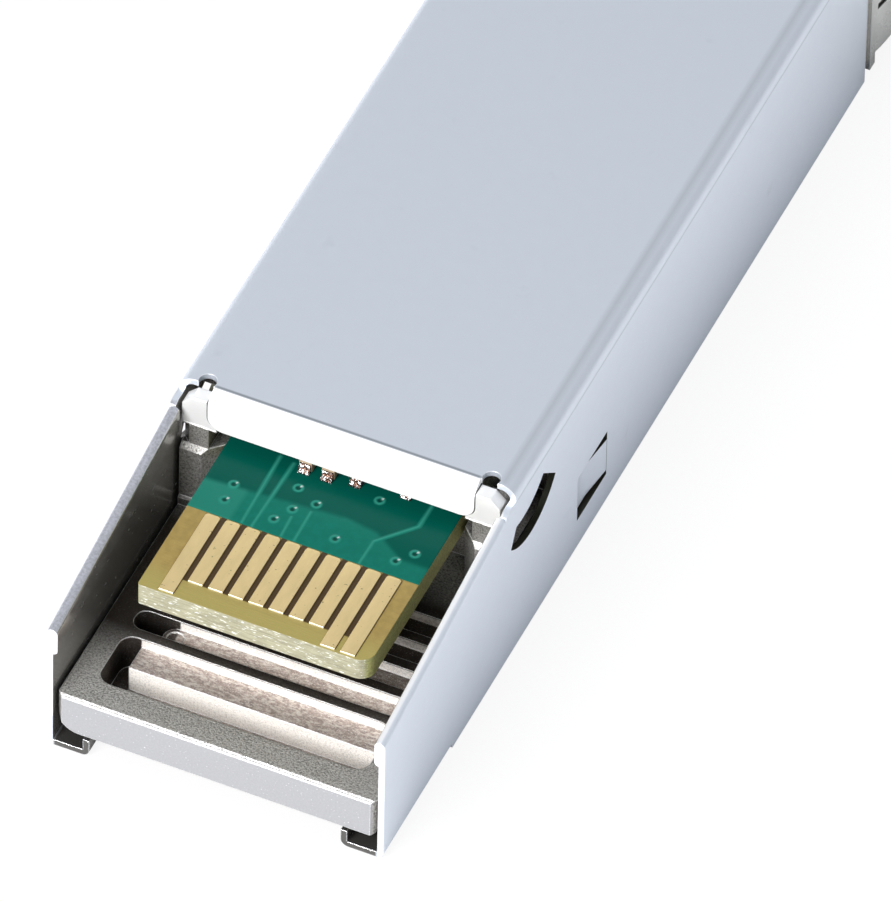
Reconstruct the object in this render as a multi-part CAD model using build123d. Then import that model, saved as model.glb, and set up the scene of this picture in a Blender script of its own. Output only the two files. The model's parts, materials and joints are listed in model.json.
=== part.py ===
from build123d import *
import math
import os

# Pluggable optical transceiver, lying with its latch side up.
# X is the width, Y runs from the edge connector to the optical ports, Z is up.
# Lengths along Y are written from the rear end, and the whole model is moved to its
# middle when it is written out.

# Envelope, from the published drawing of this form factor
overall_length = 56.5
rear_width = 13.4
rear_height = 8.5
latch_setback = 11.5           # front end back to the shoulder of the latch boss
stop_offset = 2.5              # latch shoulder to the stop outside the cage
beyond = 1.0                   # how far a cutter runs past the material
sunk = 0.1                     # how far a joined form reaches into its neighbour

# Cover, one bent sheet
sheet = 0.25
bend_radius = 0.6              # outer radius of every bend of the cover
cover_setback = 2.0            # cover's front end behind the latch shoulder
skirt_length = 10.45
skirt_height = 6.05            # at the rear end
skirt_rise = 1.75              # how much higher the skirt's edge is at the lip
lip_face = 10.7                # rear face of the bent-down lip
lip_height = 1.6
lip_half_width = 5.3
lip_corner_radius = 0.6
corner_height = 7.9            # top of the side wall where the lip's corner is relieved
relief_radius = 0.34
hem_width = 0.43
hem_height = 1.25
hem_end_gap = 0.05
hook_width = 1.7
hook_length = 6.0
hook_bend = 0.3                # outer radius of the hooks' bends
hook_clearance = 0.15
casting_gap = 0.13             # each side, between the casting and the cover's walls

# Slots and presses in the side walls
crescent_tip = (10.92, 5.68)
crescent_belly = (12.67, 4.93)
crescent_nose = (14.82, 6.03)
crescent_brow = (13.7, 7.08)
crescent_back = (12.45, 6.48)
crescent_heel = (11.35, 6.51)
crescent_pocket = (11.3, 15.0, 4.7, 7.2)
bridge_rear = 16.9
bridge_front = 19.5
bridge_low = 1.42
bridge_high = 3.7
bridge_slit_low = 0.2
bridge_slit_high = 0.45
bridge_press = 0.18
bridge_rear_ramp = 0.4
bridge_front_ramp = 1.45
bridge_pocket = 0.15           # room round the pressed strip in the casting
pocket_depth = 0.8             # of the hollows behind both wall openings

# Base casting
tongue_setback = 0.05
tongue_thickness = 1.77
tongue_left_radius = 0.9
tongue_right_radius = 0.2
tongue_corner = 0.2            # bevel of the upright rear corners
pillar_face = 10.5
pillar_height = 3.09           # above the tongue's top
pillar_inset = 0.15            # beside the board's edge
pillar_corner = 0.8
pillar_bevel = 0.2
foot_reach = 0.1
foot_height = 0.43
foot_bevel = 0.08
post_inner = 5.25
post_bevel = 0.3
ear_inner = 4.95
ear_thickness = 0.6
ear_gap = 0.04                 # round the lip's edge
ear_drop = 0.05                # below the lip's lower edge
ear_setback = 0.02
ear_top_gap = 0.05
wall_start = 12.5
cross_wall = 0.8
tray_floor = 1.2
rail_width = 0.65
rail_height = 0.8
chamber_gap = 0.5              # board's front end to the chamber of the cans
chamber_clearance = 0.175      # beside the cans
slot_half_width = 5.34
slot_depth = 1.57
slot_corner_radius = 0.55
first_slot_rear = 1.27
first_slot_front = 3.78
first_step_rear = 2.67
first_step_left = -4.67
step_drop = 0.43               # tongue's top to the raised part of the slots' floors
next_step_left = -3.75
slot_rib = 0.42
slot_pitch = 1.365
extra_slot_count = 4
edge_bevel = 0.12
ejector_mark_radius = 0.33
ejector_mark_depth = 0.05

# Nose of the casting
nose_inset = 0.1               # each side, behind the cover's faces
nose_base = 0.45
stop_reach = 0.7               # each side, beyond the nose
stop_thickness = 1.8
stop_height = 8.9
snout_wall = 0.325             # beside the ports
snout_base = 0.3
port_pitch = 6.25
port_size = 4.6
port_height = 4.55             # optical axis above the resting face
port_depth = 9.0
port_wall = 1.2
key_width = 3.0
key_depth = 0.65
key_setback = 2.5

# Board and what is on it
board_width = 9.2
board_thickness = 1.0
board_setback = 3.2
board_to_can = 2.5             # board's front end to the cans
board_depth = 2.25             # cover's face to the board's near face
board_gap = 2.54               # board's far face to the tongue
board_corner_left = 0.12
board_corner_right = 0.6
mask_thickness = 0.03
mask_setback = 4.27            # board's rear end to the edge of the mask
contact_count = 10
contact_pitch = 0.8
contact_width = 0.6
contact_thickness = 0.07
contact_offset = 0.09
contact_front = 4.2            # board's rear end to the contacts' front ends
contact_long_setback = 0.08
contact_short_setback = 0.87
contact_corner_radius = 0.14
long_contacts_upper = (0, 8, 9)
long_contacts_lower = (0, 3, 6, 9)

# Chips and small components: centre x, centre y, length, width, height. A positive y is
# measured from the board's rear end, a negative one from its front end.
driver_chip = (-2.0, 23.8, 4.0, 4.0, 0.8)
controller_chip = (1.2, 16.2, 5.0, 5.0, 0.85)
memory_chip = (-1.6, 11.6, 3.0, 3.0, 0.9)
amplifier_chip = (2.2, 24.2, 3.0, 3.0, 0.75)
chip_size = (1.0, 0.5, 0.5)
bead_size = (1.6, 0.8, 0.8)
capacitor_places = [(-1.45, 8.15), (-0.55, 8.15), (2.4, 8.6), (3.0, 11.6), (-3.6, 15.2),
                    (-3.6, 17.2), (3.9, 20.6), (0.6, 21.0), (0.6, 23.0), (-3.9, -4.4)]
resistor_places = [(0.5, 8.35), (0.9, 10.4), (0.9, 12.3), (-2.2, 15.0), (-2.6, 18.6),
                   (-2.6, 20.6), (3.2, 23.0), (1.5, -5.0), (-0.6, -6.4)]
bead_places = [(4.0, 9.6), (-3.9, 11.2), (-0.4, -3.6)]
chip_bevel = 0.08
solder_thickness = 0.12

# Optical sub-assemblies
can_setback = 9.0              # back of the ports to the cans' headers
header_radius = 2.3
header_thickness = 1.0
can_radius = 2.0
can_length = 2.6
barrel_radius = 1.45
barrel_reach = 4.0             # past the back wall of the port
barrel_wall_gap = 0.05
barrel_bevel = 0.1
flange_radius = 2.0
flange_setback = 4.5           # back of the ports to the flanges
flange_thickness = 1.0
sleeve_radius = 1.0
sleeve_bore = 0.627
sleeve_length = 4.6
sleeve_gap = 0.01
sleeve_recess = 0.15
flex_width = 3.0
flex_thickness = 0.1
flex_overlap = 1.8
flex_bend = 0.5
clamp_setback = 3.0            # back of the ports to the clamp
clamp_length = 1.3
clamp_gap = 0.02

# Spring collar round the nose
collar_sheet = 0.15
collar_gap = 0.35              # cover's front end to the collar
collar_length = 3.9
collar_band = 0.45
collar_bulge = 0.3
collar_return = 3.3
finger_gap = 0.3
collar_corner = 0.5            # plain corner between the fingers of two sides
finger_count_low = 5
finger_count_side = 3

# Latch
lever_half_width = 2.95
lever_clearance = 0.2
lever_tuck = 0.8               # lever's rear end behind the cover's front end
lever_base = 7.5
lever_thickness = 0.6
lever_tip_length = 1.2
lever_tip_rise = 0.8
lever_tip_thickness = 0.35
lever_tip_gap = 0.1            # behind the crank of the bail
lever_tip_reach = 0.2          # past the crank of the bail
pivot_offset = 5.0             # latch shoulder to the pivot
pivot_rise = 0.2               # lever's underside to the pivot
pin_radius = 0.4
pin_seat = 0.95                # each end, in the casting
pin_gap = 0.01
hub_radius = 0.62
hub_gap = 0.03
boss_length = 2.6
boss_width = 2.6
boss_height = 0.45
boss_sink = 0.2                # foot of the boss's ramp below the cover's face
cavity_depth = 0.45            # below the lever in front
cavity_depth_rear = 1.2        # below the lever's rear arm
cavity_step = 0.15
shelf_thickness = 0.7
shelf_half_width = 1.0
shelf_reach = 1.2              # behind the spring's axis
spring_radius = 0.62
spring_wire = 0.11
spring_turn_count = 3
spring_setback = 1.4           # behind the wall of the chamber
spring_seat_gap = 0.03

# Bail
bail_setback = 3.0             # front end back to the bail's axle
bail_rise = 0.15               # lever's underside to the bail's axle
wire_radius = 0.5
bail_side_gap = 0.1            # between the snout and the bail's legs
bail_bend = 0.6
bar_setback = 0.9              # front end back to the cross-bar
crank_offset = 0.4
crank_half_width = 2.1
crank_run = 0.5
crank_bend = 0.3
axle_gap = 0.05
grip_half_width = 4.6
grip_height = 1.36
grip_length = 1.6
grip_corner = 0.35
grip_gap = 0.01
grip_lift = 0.08               # above the resting face
swing_clearance = 0.15
wire_joint = 0.1

# Derived places
half_width = rear_width / 2
inner_half = half_width - sheet
casting_half = inner_half - casting_gap
cover_inside = rear_height - sheet
latch_shoulder = overall_length - latch_setback
cover_front = latch_shoulder - cover_setback
stop_shoulder = latch_shoulder + stop_offset
port_back = overall_length - port_depth
chamber_end = port_back - port_wall
port_axes = [-port_pitch / 2, port_pitch / 2]
can_start = port_back - can_setback
flange_start = port_back - flange_setback
clamp_start = port_back - clamp_setback
board_top = rear_height - board_depth
board_bottom = board_top - board_thickness
board_front = can_start - board_to_can
board_half = board_width / 2
chamber_start = board_front + chamber_gap
chamber_half_width = port_pitch / 2 + header_radius + chamber_clearance
tongue_top = board_bottom - board_gap
tongue_bottom = tongue_top - tongue_thickness
pillar_top = tongue_top + pillar_height
wall_inner = board_half + pillar_inset
lip_bottom = rear_height - lip_height
nose_half_width = half_width - nose_inset
stop_half_width = nose_half_width + stop_reach
snout_half_width = port_pitch / 2 + port_size / 2 + snout_wall
collar_start = cover_front + collar_gap
cavity_half = lever_half_width + lever_clearance
cavity_floor = lever_base - cavity_depth
cavity_floor_rear = lever_base - cavity_depth_rear
lever_rear = cover_front - lever_tuck
pivot_y = latch_shoulder + pivot_offset
pivot_z = lever_base + pivot_rise
pin_length = 2 * (cavity_half + pin_seat)
spring_y = chamber_end - spring_setback
bail_y = overall_length - bail_setback
bail_z = lever_base + bail_rise
bail_leg_x = snout_half_width + bail_side_gap + wire_radius
bar_y = overall_length - bar_setback
bar_z = grip_height / 2 + grip_lift
tip_start = bail_y - wire_radius - crank_offset - lever_tip_gap
tip_end = bail_y + wire_radius + crank_offset + lever_tip_reach


def block(x_range, y_range, z_range):
    """A box between two corners, given as three ranges."""
    spans = [high - low for low, high in (x_range, y_range, z_range)]
    middle = [(high + low) / 2 for low, high in (x_range, y_range, z_range)]
    return Pos(*middle) * Box(*spans)


def both_sides(low, high):
    """The same range of x on the left and on the right."""
    return [(-high, -low), (low, high)]


def rod_x(radius, x_range, y, z):
    """A round rod along the width."""
    length = x_range[1] - x_range[0]
    return Pos((x_range[0] + x_range[1]) / 2, y, z) * Rot(0, 90, 0) * Cylinder(radius, length)


def rod_y(radius, y_range, x, z):
    """A round rod along the length."""
    length = y_range[1] - y_range[0]
    return Pos(x, (y_range[0] + y_range[1]) / 2, z) * Rot(90, 0, 0) * Cylinder(radius, length)


def rod_z(radius, z_range, x, y):
    """A round upright rod."""
    length = z_range[1] - z_range[0]
    return Pos(x, y, (z_range[0] + z_range[1]) / 2) * Cylinder(radius, length)


def along_y(section, y_range):
    """A section drawn in X and Z, carried along the length."""
    plane = Plane(origin=(0, y_range[1], 0), x_dir=(1, 0, 0), z_dir=(0, -1, 0))
    return extrude(plane * section, amount=y_range[1] - y_range[0])


def along_x(section, x_range):
    """A section drawn in Y and Z, carried along the width."""
    return extrude(Plane.YZ.offset(x_range[0]) * section, amount=x_range[1] - x_range[0])


def sheet_section(points, thickness, outer_radius):
    """The section of a bent sheet, from the middle line of its thickness."""
    return trace(FilletPolyline(*points, radius=outer_radius - thickness / 2), thickness)


def polygon(points):
    """A flat outline through points given in order."""
    return make_face(Polyline(*points, close=True))


def prism(points, z_range):
    """An upright prism over an outline drawn in X and Y."""
    return Pos(0, 0, z_range[0]) * extrude(polygon(points), amount=z_range[1] - z_range[0])


def on_side(side, low, high):
    """A range of x on the left (side -1) or on the right (side 1)."""
    return tuple(sorted((side * low, side * high)))


def rounded_slot(y_range):
    """A pocket cut down into the tongue, with rounded ends."""
    pocket = block((-slot_half_width, slot_half_width), y_range,
                   (tongue_top - slot_depth, tongue_top + beyond))
    radius = min(slot_corner_radius, 0.45 * (y_range[1] - y_range[0]))
    return fillet(pocket.edges().filter_by(Axis.Z), radius)


def skirt_edge(y):
    """Height of the skirt's sloping edge at a distance from the rear end."""
    return skirt_height + skirt_rise * y / skirt_length


# Cover

def cover_walls():
    """The U of top panel and side walls, with the skirts' outline cut into it."""
    middle = half_width - sheet / 2
    points = [(-middle, 0), (-middle, rear_height - sheet / 2),
              (middle, rear_height - sheet / 2), (middle, 0)]
    walls = along_y(sheet_section(points, sheet, bend_radius), (0, cover_front))
    crown = hem_width / 2
    outline = polygon([(-beyond, skirt_edge(-beyond) - crown),
                       (skirt_length - hem_end_gap, skirt_edge(skirt_length - hem_end_gap) - crown),
                       (skirt_length, skirt_edge(skirt_length)),
                       (skirt_length + sheet, corner_height),
                       (lip_face + bend_radius, corner_height),
                       (lip_face + bend_radius, rear_height + beyond), (-beyond, rear_height + beyond)])
    walls -= along_x(outline, (-rear_width, rear_width))
    walls -= block((-cavity_half, cavity_half), (lever_rear - lever_clearance * 2, cover_front + beyond),
                   (cover_inside - sheet, rear_height + beyond))
    return walls


def cover_lip():
    """The tongue of the top panel that is bent down in front of the board."""
    middle = rear_height - sheet / 2
    face = lip_face + sheet / 2
    points = [(lip_face + 2 * bend_radius, middle), (face, middle), (face, lip_bottom)]
    lip = along_x(sheet_section(points, sheet, bend_radius), (-lip_half_width, lip_half_width))
    low_corners = lip.edges().filter_by(Axis.Y).group_by(Axis.Z)[0]
    return fillet(low_corners, lip_corner_radius)


def skirt_hem(side):
    """The skirt's edge, folded inwards and down, following the slope."""
    fold = Pos(side * (half_width - hem_width / 2), skirt_height - hem_height / 2) \
        * RectangleRounded(hem_width, hem_height, hem_width * 0.48)
    plane = Plane(origin=(0, 0, 0), x_dir=(1, 0, 0), z_dir=(0, -1, 0))
    run = skirt_length - hem_end_gap
    slope = Vector(0, run, skirt_rise * run / skirt_length)
    return extrude(plane * fold, amount=slope.length, dir=slope)


def cover_hook(side):
    """The foot of the skirt, bent in under the tongue and up at its end."""
    wall = half_width - sheet / 2
    foot = half_width - hook_width + sheet / 2
    points = [(side * wall, 2 * bend_radius), (side * wall, sheet / 2),
              (side * foot, sheet / 2), (side * foot, tongue_bottom - hook_clearance)]
    return along_y(sheet_section(points, sheet, hook_bend), (0, hook_length))


def crescent_window():
    """The crescent-shaped slot in a side wall, as a cutter through both walls."""
    lower = ThreePointArc(crescent_tip, crescent_belly, crescent_nose)
    front = Line(crescent_nose, crescent_brow)
    upper = ThreePointArc(crescent_brow, crescent_back, crescent_heel)
    rear = Line(crescent_heel, crescent_tip)
    return along_x(make_face([lower, front, upper, rear]), (-rear_width, rear_width))


def pressed_bridge(side):
    """The strip between the two slits of a side wall, pressed inwards."""
    wall = half_width - sheet / 2
    points = [(bridge_rear - sheet / 2, wall), (bridge_rear + bridge_rear_ramp, wall - bridge_press),
              (bridge_front - bridge_front_ramp, wall - bridge_press), (bridge_front + sheet / 2, wall)]
    line = Polyline(*[(side * x, y) for y, x in points])
    height = bridge_high - bridge_low - bridge_slit_low - bridge_slit_high
    return Pos(0, 0, bridge_low + bridge_slit_low) * extrude(trace(line, sheet), amount=height)


def make_cover():
    """The whole cover as one solid sheet."""
    cover = cover_walls()
    cover -= block((-rear_width, rear_width), (-beyond, hook_length), (-beyond, 2 * bend_radius))
    cover += cover_lip()
    for side in (-1, 1):
        centre = side * (lip_half_width + relief_radius)
        cover -= rod_z(relief_radius, (cover_inside - bend_radius, rear_height + beyond), centre,
                       lip_face + bend_radius + relief_radius / 2)
    cover -= crescent_window()
    cover -= block((-rear_width, rear_width), (bridge_rear, bridge_front), (bridge_low, bridge_high))
    for side in (-1, 1):
        cover += cover_hook(side)
        cover += skirt_hem(side)
        cover += pressed_bridge(side)
    return cover


# Base casting

def casting_tongue():
    """The tongue under the card edge."""
    tongue = block((-casting_half, casting_half), (tongue_setback, wall_start),
                   (tongue_bottom, tongue_top))
    rear_top = tongue.edges().filter_by(Axis.X).group_by(Axis.Y)[0].sort_by(Axis.Z)[-1]
    tongue = chamfer(rear_top, edge_bevel)
    for radius, place in ((tongue_left_radius, 0), (tongue_right_radius, -1)):
        low_edges = tongue.edges().filter_by(Axis.Y).group_by(Axis.Z)[0].sort_by(Axis.X)
        tongue = fillet(low_edges[place], radius)
    for side in (-1, 1):
        corner = [(casting_half, tongue_setback), (casting_half - tongue_corner, tongue_setback),
                  (casting_half, tongue_setback + tongue_corner)]
        tongue -= prism([(side * x, y) for x, y in corner], (tongue_bottom - beyond, tongue_top + beyond))
    return tongue


def slot_ranges():
    """Rear and front walls of the tongue's slots."""
    ranges = [(first_slot_rear, first_slot_front)]
    for number in range(1, extra_slot_count + 1):
        front = first_slot_front + number * slot_pitch
        ranges.append((front - slot_pitch + slot_rib, front))
    return ranges


def slot_steps():
    """The raised parts of the slots' floors, with the round ends and the ejector mark of the next slots."""
    levels = (tongue_top - slot_depth - sunk, tongue_top - step_drop)
    right = slot_half_width + sunk
    steps = [block((first_step_left, right), (first_step_rear, first_slot_front + sunk), levels)]
    for rear, front in slot_ranges()[1:]:
        middle = (rear + front) / 2
        step = block((next_step_left, right), (rear - sunk, front + sunk), levels)
        step += rod_z((front - rear) / 2, levels, next_step_left, middle)
        mark = (levels[1] - ejector_mark_depth, levels[1] + beyond)
        steps.append(step - rod_z(ejector_mark_radius, mark, next_step_left, middle))
    return steps


def casting_pillar(side):
    """The pillar beside the board with its foot, the post on it and the ear in the lip's corner."""
    front = wall_start + sunk
    width = on_side(side, wall_inner, casting_half)
    pillar = block(width, (pillar_face, front), (tongue_top - sunk, pillar_top))
    ledge = pillar.edges().filter_by(Axis.X).group_by(Axis.Y)[0].sort_by(Axis.Z)[-1]
    pillar = chamfer(ledge, pillar_bevel)
    foot_face = pillar_face - foot_reach
    foot = block(width, (foot_face, front), (tongue_top - sunk, tongue_top + foot_height))
    foot_edge = foot.edges().filter_by(Axis.X).group_by(Axis.Y)[0].sort_by(Axis.Z)[-1]
    pillar += chamfer(foot_edge, foot_bevel)
    corner = [(wall_inner, foot_face), (wall_inner + pillar_corner, foot_face),
              (wall_inner, foot_face + pillar_corner)]
    pillar -= prism([(side * x, y) for x, y in corner], (tongue_top - sunk, pillar_top + beyond))
    post = block(on_side(side, post_inner, casting_half), (lip_face, front),
                 (pillar_top - sunk, lip_bottom - ear_drop))
    outer_edge = post.edges().filter_by(Axis.Z).group_by(Axis.Y)[0].sort_by(Axis.X)[-1 if side > 0 else 0]
    post = chamfer(outer_edge, post_bevel)
    ear = block(on_side(side, ear_inner, casting_half), (lip_face + ear_setback, lip_face + ear_thickness),
                (lip_bottom - ear_drop - sunk, cover_inside - ear_top_gap))
    lip_room = block((-lip_half_width - ear_gap, lip_half_width + ear_gap), (lip_face - beyond, wall_start),
                     (lip_bottom - ear_gap, rear_height + beyond))
    low_corners = lip_room.edges().filter_by(Axis.Y).group_by(Axis.Z)[0]
    lip_room = fillet(low_corners, lip_corner_radius + ear_gap)
    return pillar + post + (eased_top(ear, side) - lip_room)


def eased_top(wall, side):
    """A form with its outer top edge bevelled to clear the inside of the cover's bend."""
    edges = wall.edges().filter_by(Axis.Y).group_by(Axis.Z)[-1].sort_by(Axis.X)
    return chamfer(edges[-1 if side > 0 else 0], bend_radius - sheet + ear_top_gap)


def casting_tray():
    """The long tray that holds the board, with its side walls, rails and cross wall."""
    tray = block((-casting_half, casting_half), (hook_length + hook_clearance, cover_front), (0, tongue_top))
    for side in (-1, 1):
        wall = block(on_side(side, wall_inner, casting_half), (wall_start, cover_front),
                     (tongue_top - sunk, cover_inside))
        tray += eased_top(wall, side)
        tray += casting_pillar(side)
    tray -= block((-wall_inner, wall_inner), (wall_start + cross_wall, cover_front + beyond),
                  (tray_floor, cover_inside + beyond))
    tray += block((-wall_inner, wall_inner), (wall_start, wall_start + cross_wall),
                  (tongue_top - sunk, board_bottom - mask_thickness))
    for side in both_sides(wall_inner - rail_width, wall_inner + sunk):
        tray += block(side, (wall_start, board_front), (board_bottom - rail_height, board_bottom))
    tray -= block((-chamber_half_width, chamber_half_width), (chamber_start, cover_front + beyond),
                  (tray_floor, cover_inside + beyond))
    for side in both_sides(casting_half - pocket_depth, half_width):
        tray -= block(side, (bridge_rear - bridge_pocket, bridge_front + bridge_pocket),
                      (bridge_low - bridge_pocket, bridge_high + bridge_pocket))
        rear, front, low, high = crescent_pocket
        tray -= block(side, (rear, front), (low, high))
    return tray


def casting_nose():
    """The solid front of the casting, before the ports and the latch are cut."""
    nose = block((-nose_half_width, nose_half_width), (cover_front, stop_shoulder), (nose_base, rear_height))
    nose += block((-stop_half_width, stop_half_width), (stop_shoulder, stop_shoulder + stop_thickness),
                  (0, stop_height))
    snout = block((-snout_half_width, snout_half_width), (stop_shoulder, overall_length),
                  (snout_base, rear_height))
    swing_radius = grip_reach() - swing_clearance
    swing_start = bar_y - grip_length / 2 - swing_clearance
    swing = block((-rear_width, rear_width), (swing_start, overall_length + beyond),
                  (-beyond, port_height - port_size / 4))
    swing -= rod_x(swing_radius, (-rear_width, rear_width), bail_y, bail_z)
    nose += snout - swing
    return nose


def grip_reach():
    """Least distance from the bail's axis to its grip."""
    gap_y = bar_y - grip_length / 2 - bail_y
    gap_z = bail_z - (bar_z + grip_height / 2)
    return math.hypot(gap_y, gap_z)


def port_cutters():
    """The two plug openings, their key slots and the holes for the barrels."""
    cutters = []
    half = port_size / 2
    for axis in port_axes:
        cutters.append(block((axis - half, axis + half), (port_back, overall_length + beyond),
                             (port_height - half, port_height + half)))
        cutters.append(block((axis - key_width / 2, axis + key_width / 2),
                             (port_back + key_setback, overall_length + beyond),
                             (port_height - half - key_depth, port_height)))
        cutters.append(rod_y(barrel_radius + barrel_wall_gap, (chamber_end - beyond, port_back + beyond),
                             axis, port_height))
    return cutters


def latch_cutters():
    """The cavity of the latch lever and the holes of its pin and of the bail."""
    sides = (-cavity_half, cavity_half)
    above = stop_height + beyond
    pin_end = pin_length / 2 + pin_gap
    return [block((-chamber_half_width, chamber_half_width), (cover_front - beyond, chamber_end),
                  (tray_floor, cavity_floor + cavity_step)),
            block(sides, (cover_front - beyond, chamber_end), (cavity_floor_rear, above)),
            block(sides, (chamber_end - sunk, tip_end + lever_clearance), (cavity_floor, above)),
            rod_x(pin_radius + pin_gap, (-pin_end, pin_end), pivot_y, pivot_z),
            rod_x(wire_radius + axle_gap, (-nose_half_width, nose_half_width), bail_y, bail_z)]


def make_base_housing():
    """The whole base casting as one solid."""
    housing = casting_tongue() + casting_tray() + casting_nose()
    for cutter in [rounded_slot(y_range) for y_range in slot_ranges()] + port_cutters() + latch_cutters():
        housing -= cutter
    for step in slot_steps():
        housing += step
    shelf = block((-shelf_half_width, shelf_half_width), (spring_y - shelf_reach, chamber_end + sunk),
                  (cavity_floor_rear - shelf_thickness, cavity_floor_rear))
    return housing + shelf


# Board

def make_board():
    """The bare circuit board with its two rear corners eased."""
    board = block((-board_half, board_half), (board_setback, board_front), (board_bottom, board_top))
    rear_corners = board.edges().filter_by(Axis.Z).group_by(Axis.Y)[0].sort_by(Axis.X)
    board = fillet(rear_corners[-1], board_corner_right)
    left = board.edges().filter_by(Axis.Z).sort_by(Axis.X).group_by(Axis.X)[0].sort_by(Axis.Y)
    return fillet(left[0], board_corner_left)


def make_mask(half, z_range):
    """A film of solder mask over one face of the board."""
    return block((-half, half), (board_setback + mask_setback, board_front), z_range)


def make_contacts(long_ones, z_range):
    """A row of gold contacts on one face of the card edge."""
    front = board_setback + contact_front
    row = []
    for number in range(contact_count):
        centre = (number - (contact_count - 1) / 2) * contact_pitch + contact_offset
        setback = contact_long_setback if number in long_ones else contact_short_setback
        rear = board_setback + setback
        contact = block((centre - contact_width / 2, centre + contact_width / 2), (rear, front), z_range)
        front_corners = contact.edges().filter_by(Axis.Z).group_by(Axis.Y)[-1]
        row.append(fillet(front_corners, contact_corner_radius))
    return Compound(row)


def along_board(y):
    """A place on the board, given from its rear end or, if negative, from its front end."""
    return board_setback + y if y > 0 else board_front + y


def on_board(place, upward):
    """A square-cut component on the mask of the upper or the lower face."""
    x, y, length, width, height = place
    y = along_board(y)
    if upward:
        z_range = (board_top + mask_thickness, board_top + mask_thickness + height)
    else:
        z_range = (board_bottom - mask_thickness - height, board_bottom - mask_thickness)
    return block((x - width / 2, x + width / 2), (y - length / 2, y + length / 2), z_range)


def make_chip(place, upward):
    """A flat package with bevelled top edges."""
    chip = on_board(place, upward)
    outer = chip.faces().sort_by(Axis.Z)[-1 if upward else 0]
    return chamfer(outer.edges(), chip_bevel)


def make_small_parts(places, size):
    """Small two-ended components, each a separate solid."""
    length, width, height = size
    return Compound([make_chip((x, y, length, width, height), True) for x, y in places])


def make_solder(groups):
    """Solder wedges at both ends of every small component."""
    beads = []
    for places, size in groups:
        length, width, height = size
        for x, y in places:
            for end in (-1, 1):
                tip = along_board(y) + end * length / 2
                foot = board_top + mask_thickness
                wedge = polygon([(tip, foot), (tip + end * solder_thickness * 2, foot),
                                 (tip, foot + height * 0.7)])
                beads.append(along_x(wedge, (x - width * 0.45, x + width * 0.45)))
    return Compound(beads)


# Optical sub-assemblies

def make_can(axis):
    """A stepped metal can on its header."""
    header = rod_y(header_radius, (can_start, can_start + header_thickness), axis, port_height)
    cap = rod_y(can_radius, (can_start + header_thickness, can_start + can_length), axis, port_height)
    return header + cap


def make_barrel(axis):
    """The receptacle tube in front of a can, with its flange and its stepped bore."""
    start = can_start + can_length
    end = port_back + barrel_reach
    barrel = rod_y(barrel_radius, (start, end), axis, port_height)
    barrel += rod_y(flange_radius, (flange_start, flange_start + flange_thickness), axis, port_height)
    barrel -= rod_y(sleeve_radius + sleeve_gap, (end - sleeve_length, end + beyond), axis, port_height)
    return chamfer(barrel.edges().filter_by(GeomType.CIRCLE).group_by(Axis.Y)[-1], barrel_bevel)


def make_sleeve(axis):
    """The ceramic alignment sleeve inside a barrel."""
    end = port_back + barrel_reach
    sleeve = rod_y(sleeve_radius, (end - sleeve_length, end - sleeve_recess), axis, port_height)
    return sleeve - rod_y(sleeve_bore, (end - sleeve_length - beyond, end + beyond), axis, port_height)


def make_flex(axis):
    """The flexible circuit that runs off the board and down the back of a header."""
    level = board_top + mask_thickness + flex_thickness / 2
    back = can_start - flex_thickness / 2
    points = [(board_front - flex_overlap, level), (back, level), (back, port_height - header_radius * 0.8)]
    line = FilletPolyline(*points, radius=flex_bend)
    return along_x(trace(line, flex_thickness), (axis - flex_width / 2, axis + flex_width / 2))


def make_clamp():
    """The saddle that holds both barrels down on the casting's floor."""
    clamp = block((-chamber_half_width, chamber_half_width), (clamp_start, clamp_start + clamp_length),
                  (tray_floor, port_height))
    for axis in port_axes:
        clamp -= rod_y(barrel_radius + clamp_gap, (clamp_start - beyond, clamp_start + clamp_length + beyond),
                       axis, port_height)
    return clamp


# Spring collar

def collar_arch(level, outward):
    """The section of one spring finger: a flat band at each end and a bulge between."""
    start = collar_start + collar_band / 2
    end = collar_start + collar_length - collar_band / 2
    middle = (start + end) / 2
    crest = level + outward * (collar_bulge - collar_sheet / 2)
    base = level + outward * collar_sheet / 2
    bulge = Spline((start, base), (middle, crest + outward * collar_sheet / 2), (end, base),
                   tangents=((1, outward * 0.25), (1, -outward * 0.25)))
    return trace(bulge, collar_sheet)


def collar_slits(count, half, axis_is_x, level_range):
    """Cutters that part one side of the collar into fingers."""
    pitch = 2 * half / count
    run = (collar_start + collar_band, collar_start + collar_length - collar_band)
    cutters = []
    for number in range(1, count):
        place = -half + number * pitch
        span = (place - finger_gap / 2, place + finger_gap / 2)
        if axis_is_x:
            cutters.append(block(span, run, level_range))
        else:
            middle = (nose_base + rear_height) / 2
            upright = (middle + span[0], middle + span[1])
            cutters.append(block((-rear_width, rear_width), run, upright))
    return cutters


def collar_band_ring(y_range):
    """One flat band of the collar round the nose, open over the latch lever."""
    side = nose_half_width + collar_sheet
    ring = block((-side, side), y_range, (nose_base - collar_sheet, rear_height + collar_sheet))
    run = (y_range[0] - beyond, y_range[1] + beyond)
    ring -= block((-nose_half_width, nose_half_width), run, (nose_base, rear_height))
    return ring - block((-collar_return, collar_return), run, (rear_height - beyond, rear_height + beyond))


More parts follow.
